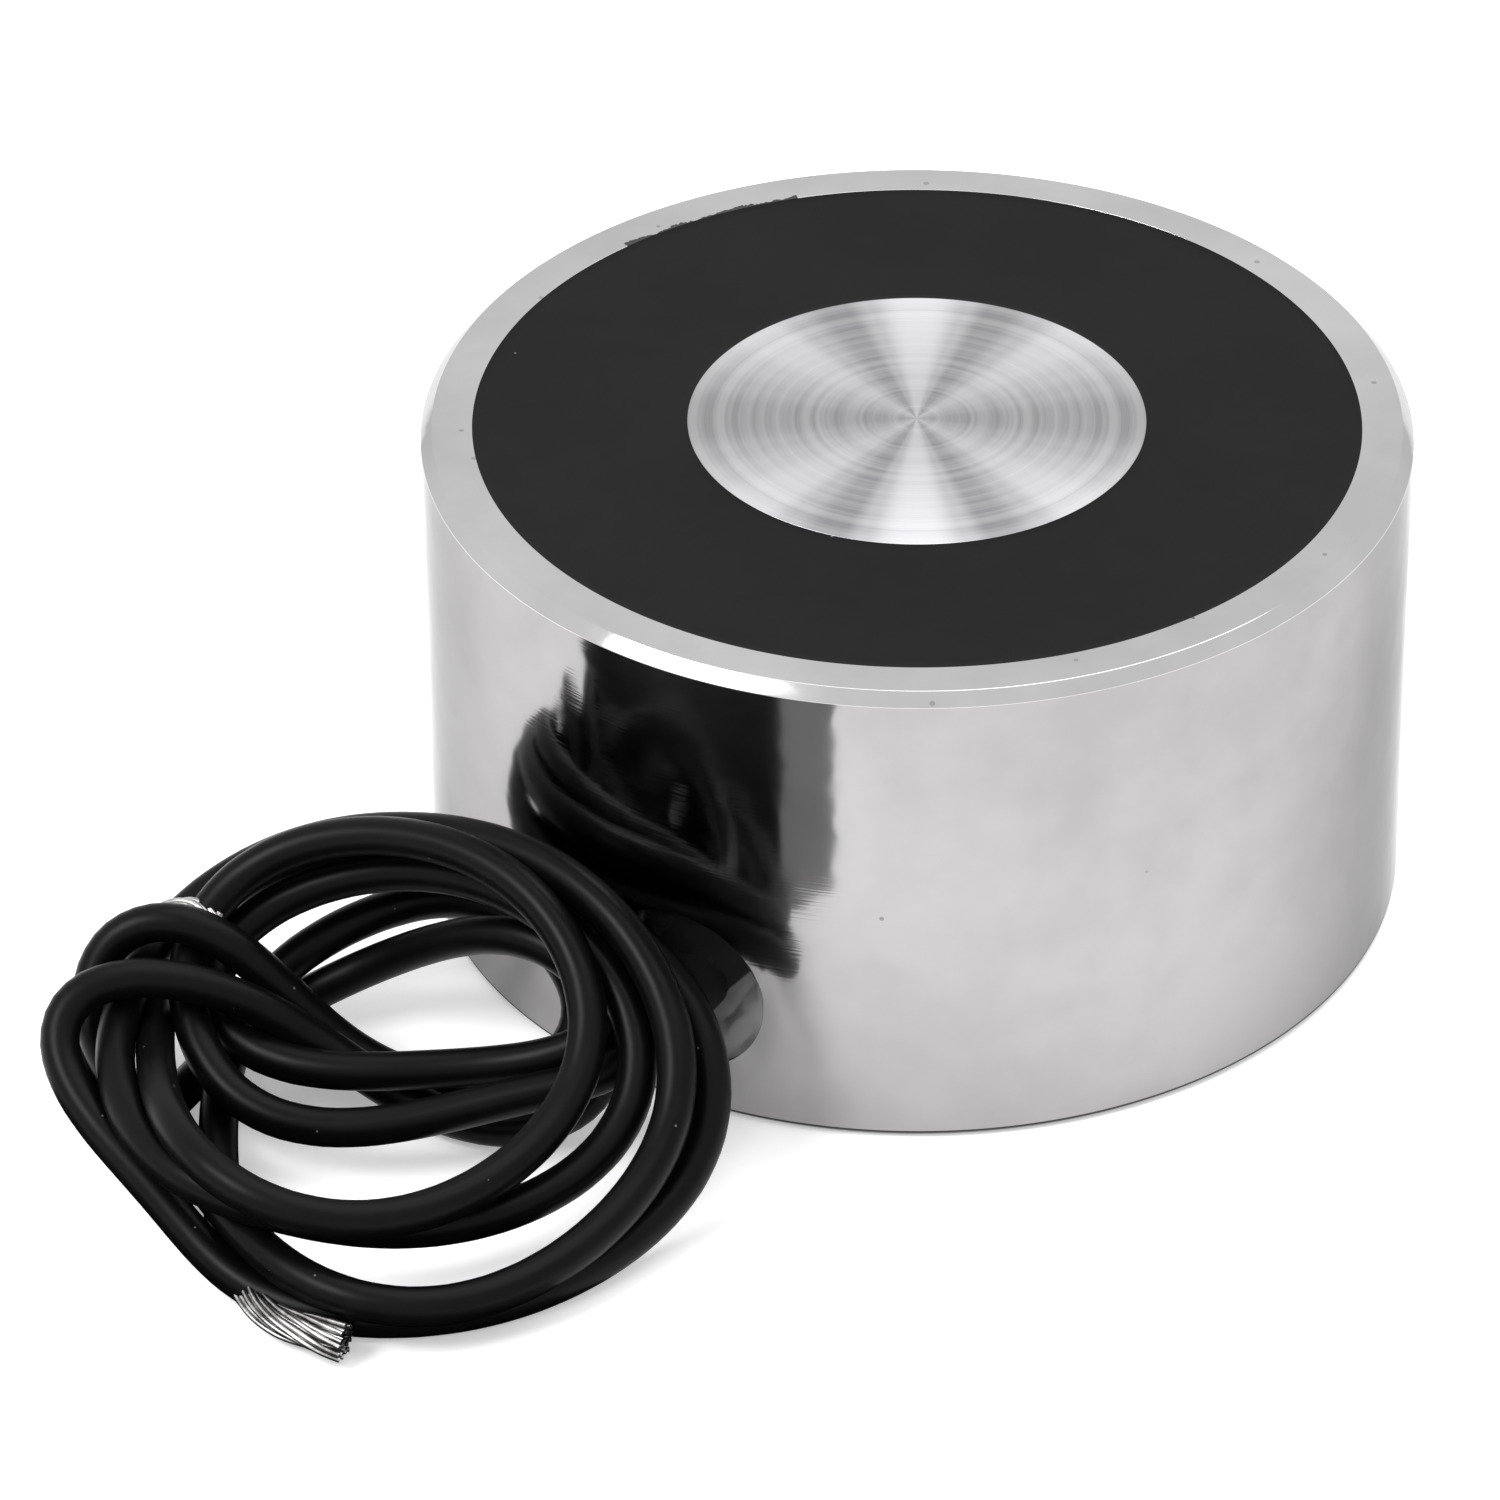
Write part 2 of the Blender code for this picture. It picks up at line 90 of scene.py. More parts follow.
def add_object(name, data):
    item = bpy.data.objects.new(name, data)
    bpy.context.scene.collection.objects.link(item)
    return item

def flat_sheet(name, corners, height, finish):
    # A four-cornered sheet that lies level, its places in millimetres
    mesh = bpy.data.meshes.new(name)
    mesh.from_pydata([(x * MM, y * MM, height * MM) for x, y in corners], [], [(0, 1, 2, 3)])
    mesh.materials.append(finish)
    return add_object(name, mesh)

def plain_finish(name, level, rough, specular):
    # One even grey, for the things round the magnet
    finish = bpy.data.materials.new(name)
    finish.use_nodes = True
    shader = finish.node_tree.nodes["Principled BSDF"]
    fill(shader, Base_Color=(level, level, level, 1.0), Roughness=rough,
         Specular_IOR_Level=specular)
    return finish, shader

def soft_lamp(name, place, aim_at, size, power):
    data = bpy.data.lights.new(name, "AREA")
    data.shape = "RECTANGLE"
    data.size, data.size_y = size
    data.energy = power
    lamp = add_object(name, data)
    lamp.location = place
    lamp.rotation_mode = "QUATERNION"
    lamp.rotation_quaternion = (Vector(aim_at) - Vector(place)).to_track_quat("-Z", "Y")
    return lamp

table_finish, table_shader = plain_finish("white_table", 0.90, 0.9, 0.1)
fill(table_shader, Emission_Color=(1.0, 1.0, 1.0, 1.0), Emission_Strength=0.34)
table_corners = [(-TABLE_HALF, -TABLE_HALF), (TABLE_HALF, -TABLE_HALF),
                 (TABLE_HALF, TABLE_HALF), (-TABLE_HALF, TABLE_HALF)]
table = flat_sheet("table_top", table_corners, TABLE_DROP, table_finish)

room = bpy.data.worlds.new("white_room")
room.use_nodes = True
fill(room.node_tree.nodes["Background"], Color=(1.0, 1.0, 1.0, 1.0), Strength=1.0)
bpy.context.scene.world = room
bpy.context.scene.view_settings.view_transform = "Standard"
soft_lamp("top_lamp", (0.1, 0.25, 0.9), (0.0, 0.0, 0.0), (0.9, 0.7), 4.0)
soft_lamp("side_lamp", (-0.42, -0.66, 0.85), (0.0, -0.02, 0.02), (0.55, 0.35), 9.0)

# %% [markdown]
# The two leads are limp, 3 mm thick, and wound by hand into a loose coil, so no rule gives
# their exact route. Each lead is written as the stretches that the eye can follow: short
# lists of places, and turns worked out by a loop that steps round the coil's middle and
# takes the distance and height of each step from a list. The listed route only says
# roughly where each strand lies. A small relaxation then does what the real wire does:
# strands push each other a diameter apart, rest on the table, stay off the magnet's wall
# and bend smoothly. A picture shows well where a strand runs across the view but hardly
# how deep it lies, so strands that touch give way mostly along the line of sight. The
# smoothness comes from drawing each lead as a cubic B-spline whose control points are
# 5 mm apart, which can't make a tight kink.

# %% Places on the leads' routes
LEAD_DIAMETER = 3.0
WALL_RADIUS = 38.1
COIL_MIDDLE = (-18.0, -56.0)
TURN_STEP = math.radians(15)

def turn(start_degrees, stations):
    # Places clockwise round the coil's middle, each station a distance and a height
    places = []
    for step, (distance, height) in enumerate(stations):
        angle = math.radians(start_degrees) - step * TURN_STEP
        places.append((COIL_MIDDLE[0] + distance * math.cos(angle),
                       COIL_MIDDLE[1] + distance * math.sin(angle), height))
    return places

OUT_A = [(-1.7, -37.5, 11.6), (-1.7, -40.5, 11.7)]
OUT_B = [(1.7, -37.5, 11.6), (1.7, -40.5, 11.7)]

# From the outlet under the turns, across the coil to its left side and up there
UNDER_A = [(-1.4, -44.8, 10.0), (-4.4, -44.4, 7.5), (-6.7, -44.7, 5.8), (-8.7, -45.4, 5.0),
           (-11.0, -46.2, 4.8), (-13.9, -47.3, 4.9), (-16.6, -48.6, 5.0), (-18.9, -50.4, 5.1),
           (-21.3, -52.4, 5.1), (-24.0, -53.8, 5.1), (-27.4, -54.1, 5.1), (-30.1, -53.9, 5.3),
           (-32.5, -52.8, 5.8), (-34.5, -51.0, 6.6), (-35.7, -49.0, 7.6), (-35.3, -46.9, 8.8)]
UNDER_B = [(1.1, -45.5, 9.5), (-1.7, -44.3, 7.2), (-3.9, -44.1, 5.8), (-5.9, -44.8, 5.0),
           (-7.7, -46.1, 4.8), (-9.6, -50.0, 4.8), (-11.2, -53.0, 4.8), (-12.8, -55.2, 4.8),
           (-15.1, -57.3, 4.8), (-17.5, -59.0, 4.8), (-20.4, -60.2, 4.9), (-23.8, -60.5, 5.1),
           (-26.2, -59.9, 5.3), (-30.3, -58.3, 5.9), (-32.4, -56.5, 6.4), (-34.0, -54.8, 7.0),
           (-35.3, -52.7, 7.8), (-36.4, -50.7, 8.8)]

# The four full turns, the inner one of each lead first
TURN_A1 = turn(135, [
    (19.2, 11.1), (17.6, 13.4), (17.2, 14.7), (16.9, 15.4), (16.9, 15.8), (17.8, 15.6),
    (19.2, 14.7), (21.8, 9.7), (21.3, 7.4), (19.3, 5.6), (17.5, 4.7), (16.0, 4.5), (15.1, 4.6),
    (15.3, 5.2), (16.3, 5.9), (17.2, 6.7), (17.0, 7.0), (16.6, 7.1), (17.0, 7.2), (17.4, 7.4),
    (18.1, 7.7), (19.3, 8.0), (22.1, 8.0)])
TURN_A2 = turn(150, [
    (23.3, 10.4), (20.7, 14.6), (18.8, 16.7), (18.0, 17.8), (17.6, 18.6), (17.4, 19.3),
    (18.1, 19.6), (20.4, 18.5), (23.8, 13.5), (25.1, 9.3), (24.7, 6.7), (24.1, 5.0), (24.1, 3.9),
    (23.9, 3.4), (22.3, 3.9), (20.8, 4.8), (16.4, 5.2), (14.4, 5.1), (13.8, 5.0), (14.3, 5.0),
    (15.9, 5.0), (18.5, 5.3)])
TURN_B1 = turn(150, [
    (20.9, 12.5), (17.9, 16.4), (16.6, 18.0), (15.8, 18.7), (15.4, 19.0), (15.5, 18.8),
    (15.9, 18.2), (17.5, 15.6), (18.1, 11.7), (17.4, 10.3), (16.7, 9.1), (16.7, 8.3), (17.0, 7.7),
    (17.2, 7.2), (17.7, 7.4), (17.6, 8.0), (17.2, 8.8), (16.2, 9.0), (15.3, 9.0), (15.0, 9.0),
    (15.3, 9.0), (15.6, 9.0), (17.1, 8.4), (20.3, 7.4)])
TURN_B2 = turn(150, [
    (25.0, 7.6), (23.2, 11.8), (21.8, 13.4), (20.4, 14.3), (19.0, 15.1), (18.3, 15.8),
    (19.0, 16.2), (22.1, 15.6), (27.0, 8.8), (26.8, 5.2), (25.3, 3.1), (23.6, 1.9), (22.8, 1.5),
    (22.2, 1.5), (21.9, 2.0), (22.0, 3.6), (19.9, 4.9), (17.7, 5.2), (17.5, 5.6), (18.3, 6.0),
    (21.3, 6.8), (24.0, 9.8)])

# Over the coil's left side and down into its middle, then along under the turns
OVER_A = [(-40.8, -57.0, 9.4), (-41.1, -56.0, 10.9), (-40.8, -54.9, 12.3), (-39.6, -53.9, 13.5),
          (-37.4, -52.9, 14.4), (-34.9, -52.3, 14.6), (-33.1, -52.2, 14.3), (-31.6, -52.2, 13.2),
          (-29.9, -52.0, 12.0), (-28.7, -51.7, 10.7), (-27.4, -51.0, 9.0), (-26.3, -50.0, 7.0),
          (-24.5, -48.8, 4.6), (-22.5, -47.9, 2.5), (-19.8, -47.6, 1.5), (-17.2, -47.2, 1.5),
          (-14.7, -46.2, 1.5), (-12.1, -44.6, 1.5), (-10.0, -42.6, 1.6), (-8.2, -40.9, 2.2)]
OVER_B = [(-40.3, -60.7, 11.4), (-38.4, -59.2, 12.3), (-35.5, -57.9, 12.2), (-32.7, -56.6, 11.6),
          (-30.3, -56.0, 10.7), (-28.6, -55.4, 10.2), (-27.0, -54.6, 9.6), (-24.2, -53.5, 7.8),
          (-22.2, -51.2, 4.6), (-20.4, -49.7, 2.2), (-17.5, -49.7, 1.5), (-14.6, -49.9, 1.5),
          (-11.8, -49.8, 1.5), (-8.8, -49.6, 1.5), (-6.2, -48.7, 1.5), (-4.5, -46.8, 1.6),
          (-4.1, -43.9, 2.1)]

# Up behind the turns along the magnet's wall, back down and out to the free end
BACK_A = [(-7.1, -39.4, 3.9), (-6.8, -38.7, 6.4), (-7.6, -38.1, 8.8), (-9.4, -37.9, 11.0),
          (-12.7, -37.0, 11.9), (-15.0, -36.1, 11.6), (-18.7, -34.8, 10.4), (-21.5, -34.1, 9.2),
          (-24.8, -34.7, 8.0), (-27.5, -36.3, 7.0), (-29.9, -38.3, 6.0), (-31.8, -41.2, 5.0),
          (-33.0, -43.3, 4.3), (-33.7, -46.4, 3.0), (-33.1, -49.9, 1.8), (-31.0, -54.1, 1.5),
          (-28.3, -58.9, 1.5), (-25.1, -64.0, 1.5), (-22.4, -68.1, 1.5), (-20.1, -71.3, 1.5)]
BACK_B = [(-3.9, -41.8, 3.4), (-4.2, -40.1, 5.2), (-5.0, -39.3, 7.4), (-6.7, -38.3, 9.2),
          (-9.6, -37.3, 10.2), (-12.2, -36.7, 10.0), (-15.0, -36.2, 9.2), (-18.7, -36.0, 7.6),
          (-23.2, -37.4, 5.8), (-25.8, -39.2, 4.9), (-27.8, -41.9, 4.1), (-29.7, -44.3, 3.2),
          (-31.5, -46.6, 2.2), (-32.6, -49.3, 1.6), (-32.9, -52.5, 1.5), (-32.5, -56.0, 1.5),
          (-31.6, -59.8, 1.5), (-31.5, -62.9, 1.5), (-32.7, -64.4, 1.5), (-35.1, -63.7, 1.5),
          (-38.0, -61.9, 1.5), (-40.2, -59.7, 1.7), (-41.3, -58.2, 3.0), (-41.5, -57.0, 5.0),
          (-41.0, -55.4, 7.0), (-40.2, -53.4, 8.8)]
PLACES_A = OUT_A + UNDER_A + TURN_A1 + TURN_A2 + OVER_A + BACK_A
PLACES_B = OUT_B + UNDER_B + TURN_B1 + TURN_B2 + OVER_B + BACK_B
print("places on lead a", len(PLACES_A), "on lead b", len(PLACES_B))

# %% Relax the leads
POINT_STEP = 1.5
CONTROL_STEP = 5.0
RELAX_ROUNDS = 420
PINNED = 3
PIN_WEIGHT = 200.0
STIFFNESS = 0.03
NEIGHBOURS = 6
OVERSHOOT = 1.5
STRAND_GAP = 0.04
WALL_GAP = 0.05
ACROSS_PULL = 0.10
DEPTH_PULL = 0.003

def rounded_route(places, step):
    # Points one step apart on a Catmull-Rom curve through the places
    route = np.array(places, float)
    route = np.vstack([2 * route[0] - route[1], route, 2 * route[-1] - route[-2]])
    dense = []
    for before, start, end, after in zip(route, route[1:], route[2:], route[3:]):
        for t in np.linspace(0.0, 1.0, 12, endpoint=False):
            dense.append(0.5 * (2 * start + (end - before) * t
                                + (2 * before - 5 * start + 4 * end - after) * t ** 2
                                + (3 * start - before - 3 * end + after) * t ** 3))
    dense.append(route[-2])
    return even_points(np.array(dense), step)

def even_points(line, step):
    # The same line with its points an even distance apart
    gone = np.r_[0.0, np.cumsum(np.linalg.norm(np.diff(line, axis=0), axis=1))]
    count = int(round(gone[-1] / step)) + 1
    marks = np.linspace(0.0, gone[-1], count)
    return np.column_stack([np.interp(marks, gone, line[:, axis]) for axis in range(3)])

def spline_basis(count, spacing):
    # Shares of the control points in each point of a uniform cubic B-spline
    spans = max(4, int(round((count - 1) * POINT_STEP / spacing)))
    place = np.linspace(0.0, spans, count)
    span = np.minimum(place.astype(int), spans - 1)
    t = place - span
    basis = np.zeros((count, spans + 3))
    rows = np.arange(count)
    basis[rows, span] = (1 - t) ** 3 / 6
    basis[rows, span + 1] = (3 * t ** 3 - 6 * t ** 2 + 4) / 6
    basis[rows, span + 2] = (-3 * t ** 3 + 3 * t ** 2 + 3 * t + 1) / 6
    basis[rows, span + 3] = t ** 3 / 6
    return basis

def smoother(count):
    # The matrix that fits a line of points to the nearest spline, its pinned start kept
    basis = spline_basis(count, CONTROL_STEP)
    weight = np.ones(count)
    weight[:PINNED] = PIN_WEIGHT
    weighted = basis.T * weight
    bending = np.diff(np.eye(basis.shape[1]), 2, axis=0)
    stiff = STIFFNESS * bending.T @ bending
    return basis @ np.linalg.solve(weighted @ basis + stiff, weighted)

def push_apart(points, first, second, gap):
    # Half of each overlap for either point of a pair that is closer than the gap
    apart = points[first] - points[second]
    squared = np.einsum("ij,ij->i", apart, apart)
    close = squared < gap * gap
    one, two = first[close], second[close]
    length = np.sqrt(np.maximum(squared[close], 1e-6))
    push = apart[close] * ((gap - length) / length * 0.5)[:, None]
    moved = np.zeros_like(points)
    hits = np.zeros(len(points))
    np.add.at(moved, one, push)
    np.add.at(moved, two, -push)
    np.add.at(hits, one, 1)
    np.add.at(hits, two, 1)
    return moved / np.maximum(hits, 1)[:, None]

def relax(lines, gap):
    counts = [len(line) for line in lines]
    ends = np.cumsum([0] + counts)
    smoothers = [smoother(count) for count in counts]
    points = np.vstack(lines)
    wanted = points.copy()
    sight = wanted - np.array(CAMERA_PLACE) / MM
    sight /= np.linalg.norm(sight, axis=1)[:, None]
    which = np.repeat(np.arange(len(lines)), counts)
    order = np.concatenate([np.arange(count) for count in counts])
    first, second = np.triu_indices(len(points), 1)
    far = (which[first] != which[second]) | (abs(order[first] - order[second]) > NEIGHBOURS)
    first, second = first[far], second[far]
    for relax_round in range(RELAX_ROUNDS):
        points = points + OVERSHOOT * push_apart(points, first, second, gap)
        back = wanted - points
        depth = np.einsum("ij,ij->i", back, sight)[:, None] * sight
        fade = min(1.0, 2.0 * (1 - relax_round / RELAX_ROUNDS))
        points += fade * (ACROSS_PULL * (back - depth) + DEPTH_PULL * depth)
        points[:, 2] = np.maximum(points[:, 2], LEAD_DIAMETER / 2)
        radius = np.hypot(points[:, 0], points[:, 1])
        limit = WALL_RADIUS + LEAD_DIAMETER / 2 + WALL_GAP
        inside = (radius < limit) & (order >= PINNED)
        points[inside, :2] *= (limit / radius[inside])[:, None]
        for line, (start, end) in enumerate(zip(ends, ends[1:])):
            part = smoothers[line] @ points[start:end]
            part[:PINNED] = wanted[start:start + PINNED]
            points[start:end] = part
    apart = np.linalg.norm(points[first] - points[second], axis=1)
    print("closest strands, mm", round(float(apart.min()), 2),
          "moved, mm", round(float(np.linalg.norm(points - wanted, axis=1).mean()), 2))
    return [points[start:end] for start, end in zip(ends, ends[1:])]

def tightest_bend(line):
    before, at, after = line[:-2], line[1:-1], line[2:]
    sides = [np.linalg.norm(side, axis=1) for side in (at - before, after - at, after - before)]
    area = np.linalg.norm(np.cross(at - before, after - before), axis=1)
    return float((sides[0] * sides[1] * sides[2] / np.maximum(2 * area, 1e-9)).min())

def line_length(line):
    return float(np.linalg.norm(np.diff(line, axis=0), axis=1).sum())

rough_lines = [rounded_route(places, POINT_STEP) for places in (PLACES_A, PLACES_B)]
lead_lines = relax(rough_lines, LEAD_DIAMETER + STRAND_GAP)
for letter, line in zip("ab", lead_lines):
    print("lead", letter, "length, mm", round(line_length(line), 1),
          "tightest bend, mm", round(tightest_bend(line), 1),
          "heights, mm", round(float(line[:, 2].min()), 1), round(float(line[:, 2].max()), 1))

# %% [markdown]
# A lead is a round tube that follows its line. Geometry Nodes fit this well: one tree
# sweeps a circle along any curve. The tree is built once, with the thickness and fineness
# as inputs, and each result is baked to plain mesh.

# %% Tree that sweeps a tube along a curve
def node(tree, kind, **settings):
    made = tree.nodes.new(kind)
    for name, value in settings.items():
        setattr(made, name, value)
    return made

def wire(tree, *links):
    # Links said as a node, its output, another node, its input
    for source, output, target, entry in links:
        tree.links.new(source.outputs[output], target.inputs[entry])

def add_inputs(tree, inputs):
    # Named inputs, each with its kind and its usual value
    for label, kind, value in inputs:
        socket = tree.interface.new_socket(label, in_out="INPUT", socket_type="NodeSocket" + kind)
        if value is not None:
            socket.default_value = value

def new_tree(name, inputs):
    tree = bpy.data.node_groups.new(name, "GeometryNodeTree")
    add_inputs(tree, [("Geometry", "Geometry", None)] + inputs)
    tree.interface.new_socket("Geometry", in_out="OUTPUT", socket_type="NodeSocketGeometry")
    return tree, node(tree, "NodeGroupInput")

def sweep_and_paint(tree, given, line, outline):
    # Ends a tree: sweeps the outline along the line and gives out its mesh, painted
    sweep = node(tree, "GeometryNodeCurveToMesh")
    fill(sweep, Fill_Caps=True)
    realize = node(tree, "GeometryNodeRealizeInstances")
    paint = node(tree, "GeometryNodeSetMaterial")
    result = node(tree, "NodeGroupOutput")
    tree.links.new(line, sweep.inputs["Curve"])
    wire(tree, (outline, "Curve", sweep, "Profile Curve"), (sweep, "Mesh", realize, "Geometry"),
         (realize, "Geometry", paint, "Geometry"), (given, "Finish", paint, "Material"),
         (paint, "Geometry", result, "Geometry"))
    return tree

def tube_tree():
    tree, given = new_tree("Sweep a round tube", [
        ("Radius", "Float", 0.0015), ("Sides", "Int", 20), ("Finish", "Material", None)])
    circle = node(tree, "GeometryNodeCurvePrimitiveCircle")
    wire(tree, (given, "Radius", circle, "Radius"), (given, "Sides", circle, "Resolution"))
    return sweep_and_paint(tree, given, given.outputs["Geometry"], circle)

def set_input(modifier, name, value):
    for item in modifier.node_group.interface.items_tree:
        if item.item_type == "SOCKET" and item.in_out == "INPUT" and item.name == name:
            modifier[item.identifier] = value

def bake_tree(holder, tree, values, name):
    # Runs the tree on the holder's data and gives its result as a plain mesh object
    modifier = holder.modifiers.new("tree", "NODES")
    modifier.node_group = tree
    for label, value in values.items():
        set_input(modifier, label, value)
    view = bpy.context.evaluated_depsgraph_get()
    mesh = bpy.data.meshes.new_from_object(holder.evaluated_get(view))
    bpy.data.objects.remove(holder, do_unlink=True)
    mesh.name = name
    return add_object(name, mesh)

def line_curve(name, points):
    # A curve of one open spline through points in metres
    curve = bpy.data.curves.new(name + "_line", "CURVE")
    curve.dimensions = "3D"
    spline = curve.splines.new("POLY")
    spline.points.add(len(points) - 1)
    for spot, point in zip(spline.points, points):
        spot.co = (*point, 1.0)
    return add_object(name + "_line", curve)

def smooth_by_angle(item, degrees):
    # Smooth shading, with edges sharper than the angle kept crisp
    mesh = item.data
    mesh.polygons.foreach_set("use_smooth", [True] * len(mesh.polygons))
    mesh.set_sharp_from_angle(angle=math.radians(degrees))
    mesh.update()

TUBE = tube_tree()
print("tree", TUBE.name, "with", len(TUBE.nodes), "nodes")

# %% [markdown]
# The wire's insulation is soft black PVC. It is dark and a little glossy, with a dull skin
# from handling, so its highlights are broad and soft. The finish is built from small
# groups that other finishes use too: dust specks and cloudy patches.

# %% Groups that more than one finish uses
def new_group(name, inputs, output):
    group = bpy.data.node_groups.new(name, "ShaderNodeTree")
    add_inputs(group, inputs)
    group.interface.new_socket(output, in_out="OUTPUT", socket_type="NodeSocketFloat")
    return group, node(group, "NodeGroupInput"), node(group, "NodeGroupOutput")

def maths(tree, operation, first, second=None):
    # A Math node, fed by sockets or plain numbers
    made = node(tree, "ShaderNodeMath", operation=operation)
    for place, value in enumerate((first, second)):
        if value is None:
            continue
        if isinstance(value, (int, float)):
            made.inputs[place].default_value = value
        else:
            tree.links.new(value, made.inputs[place])
    return made.outputs[0]

def times(tree, first, second):
    return maths(tree, "MULTIPLY", first, second)

def remap(tree, value, low, high, to_low=0.0, to_high=1.0):
    made = node(tree, "ShaderNodeMapRange")
    tree.links.new(value, made.inputs["Value"])
    fill(made, From_Min=low, From_Max=high, To_Min=to_low, To_Max=to_high)
    return made.outputs["Result"]

def noise(tree, vector, scale, detail=2.0, rough=0.5, dimensions="3D"):
    made = node(tree, "ShaderNodeTexNoise", noise_dimensions=dimensions)
    fill(made, Scale=scale, Detail=detail, Roughness=rough)
    tree.links.new(vector, made.inputs["W" if dimensions == "1D" else "Vector"])
    return made.outputs["Fac"]

def specks_group():
    # Small round specks strewn over the surface: mask 1 on a speck
    group, given, result = new_group(
        "Dust specks", [("Vector", "Vector", None), ("Scale", "Float", 900.0),
                        ("Size", "Float", 0.12), ("Share", "Float", 0.2)], "Mask")
    cells = node(group, "ShaderNodeTexVoronoi", feature="F1")
    split = node(group, "ShaderNodeSeparateColor")
    wire(group, (given, "Vector", cells, "Vector"), (given, "Scale", cells, "Scale"),
         (cells, "Color", split, "Color"))
    near = maths(group, "LESS_THAN", cells.outputs["Distance"], given.outputs["Size"])
    chosen = maths(group, "LESS_THAN", split.outputs["Red"], given.outputs["Share"])
    group.links.new(times(group, near, chosen), result.inputs["Mask"])
    return group

def patches_group():
    # Cloudy patches from large and small noise, around 0.5
    group, given, result = new_group(
        "Cloudy patches", [("Vector", "Vector", None), ("Scale", "Float", 60.0)], "Value")
    broad = node(group, "ShaderNodeTexNoise")
    fill(broad, Detail=3.0)
    fine = node(group, "ShaderNodeTexNoise")
    fill(fine, Detail=5.0)
    wire(group, (given, "Vector", broad, "Vector"), (given, "Vector", fine, "Vector"),
         (given, "Scale", broad, "Scale"))
    group.links.new(times(group, given.outputs["Scale"], 5.3), fine.inputs["Scale"])
    both = maths(group, "ADD", times(group, broad.outputs["Fac"], 0.7),
                 times(group, fine.outputs["Fac"], 0.3))
    group.links.new(both, result.inputs["Value"])
    return group

SPECKS = specks_group()
PATCHES = patches_group()

def use_group(tree, group, vector, **values):
    made = node(tree, "ShaderNodeGroup", node_tree=group)
    tree.links.new(vector, made.inputs["Vector"])
    fill(made, **values)
    return made

def finish_start(name):
    material = bpy.data.materials.new(name)
    material.use_nodes = True
    tree = material.node_tree
    shader = tree.nodes["Principled BSDF"]
    place = node(tree, "ShaderNodeTexCoord").outputs["Object"]
    return material, tree, shader, place

def blend_colours(tree, share, first, second):
    made = node(tree, "ShaderNodeMix", data_type="RGBA")
    for label, value in (("A", first), ("B", second)):
        socket = next(s for s in made.inputs if s.name == label and s.type == "RGBA")
        if isinstance(value, tuple):
            socket.default_value = (*value, 1.0)
        else:
            tree.links.new(value, socket)
    tree.links.new(share, made.inputs[0])
    return next(s for s in made.outputs if s.type == "RGBA")

def cloudy_start(name, scale, first, second, reach=0.15):
    # A finish whose colour drifts in soft patches from one shade to another
    material, tree, shader, place = finish_start(name)
    cloud = use_group(tree, PATCHES, place, Scale=scale).outputs["Value"]
    share = remap(tree, cloud, 0.5 - reach, 0.5 + reach)
    return material, tree, shader, place, cloud, blend_colours(tree, share, first, second)

def strew(tree, place, shade, speck_shade, scale, size, share, where=None):
    # Specks of another shade, only where the mask allows them
    mask = use_group(tree, SPECKS, place, Scale=scale, Size=size, Share=share).outputs["Mask"]
    if where is not None:
        mask = times(tree, mask, where)
    return blend_colours(tree, mask, shade, speck_shade)

def surface(tree, shader, shade, cloud, gloss, spread):
    # The colour as it is, and a roughness that drifts with the same patches
    tree.links.new(shade, shader.inputs["Base Color"])
    tree.links.new(remap(tree, cloud, 0.3, 0.7, gloss, gloss + spread), shader.inputs["Roughness"])

def bump(tree, height, strength, distance, shader):
    made = node(tree, "ShaderNodeBump")
    fill(made, Strength=strength, Distance=distance)
    tree.links.new(height, made.inputs["Height"])
    tree.links.new(made.outputs["Normal"], shader.inputs["Normal"])

def dress(material, *items):
    # Gives pieces a finish: objects, or CAD nodes by their names
    for item in items:
        mesh = nodes[item].data if isinstance(item, str) else item.data
        mesh.materials.clear()
        mesh.materials.append(material)

print("shared groups", SPECKS.name, PATCHES.name)

# %% Finish of the leads
def pvc_finish(name, dark, light, gloss):
    material, tree, shader, place, cloud, shade = cloudy_start(name, 120.0, dark, light)
    shade = strew(tree, place, shade, (0.085, 0.085, 0.085), 520.0, 0.05, 0.16)
    surface(tree, shader, shade, cloud, gloss, 0.10)
    fill(shader, Specular_IOR_Level=0.095)
    bump(tree, noise(tree, place, 2600.0, 3.0), 0.06, 0.00005, shader)
    return material

PVC = pvc_finish("lead_insulation", (0.0013, 0.0013, 0.0014), (0.0026, 0.0026, 0.0028), 0.32)
SLEEVING = pvc_finish("heat_shrink_sleeving", (0.0030, 0.0030, 0.0032),
                      (0.0045, 0.0045, 0.0047), 0.55)
dress(SLEEVING, "outlet_sleeve", "splice_sleeve_a", "splice_sleeve_b")
dress(PVC, "lead_a", "lead_b", "lead_coil")
print("finishes", PVC.name, SLEEVING.name)

# %% Build the leads
TUBE_STEP = 1.0
leads = []
for letter, line in zip("ab", lead_lines):
    name = "lead_" + letter + "_sheath"
    path = even_points(line, TUBE_STEP) * MM
    lead = bake_tree(line_curve(name, path), TUBE, {
        "Radius": LEAD_DIAMETER / 2 * MM, "Sides": 24, "Finish": PVC}, name)
    smooth_by_angle(lead, 50)
    leads.append((lead, path))
    print(lead.name, "faces", len(lead.data.polygons))

# %% [markdown]
# Both leads end bare: their fine copper strands are dipped in solder and still twisted,
# and those of the lower lead fan out a little towards the tip. Strands that follow one line
# are work for Geometry Nodes. The tree copies the line once for each strand, moves every
# copy off the line by a turning distance that can grow towards the tip, and sweeps thin
# tubes along them.

# %% Tree that twists bare strands round a line
GOLDEN_ANGLE = 2.39996

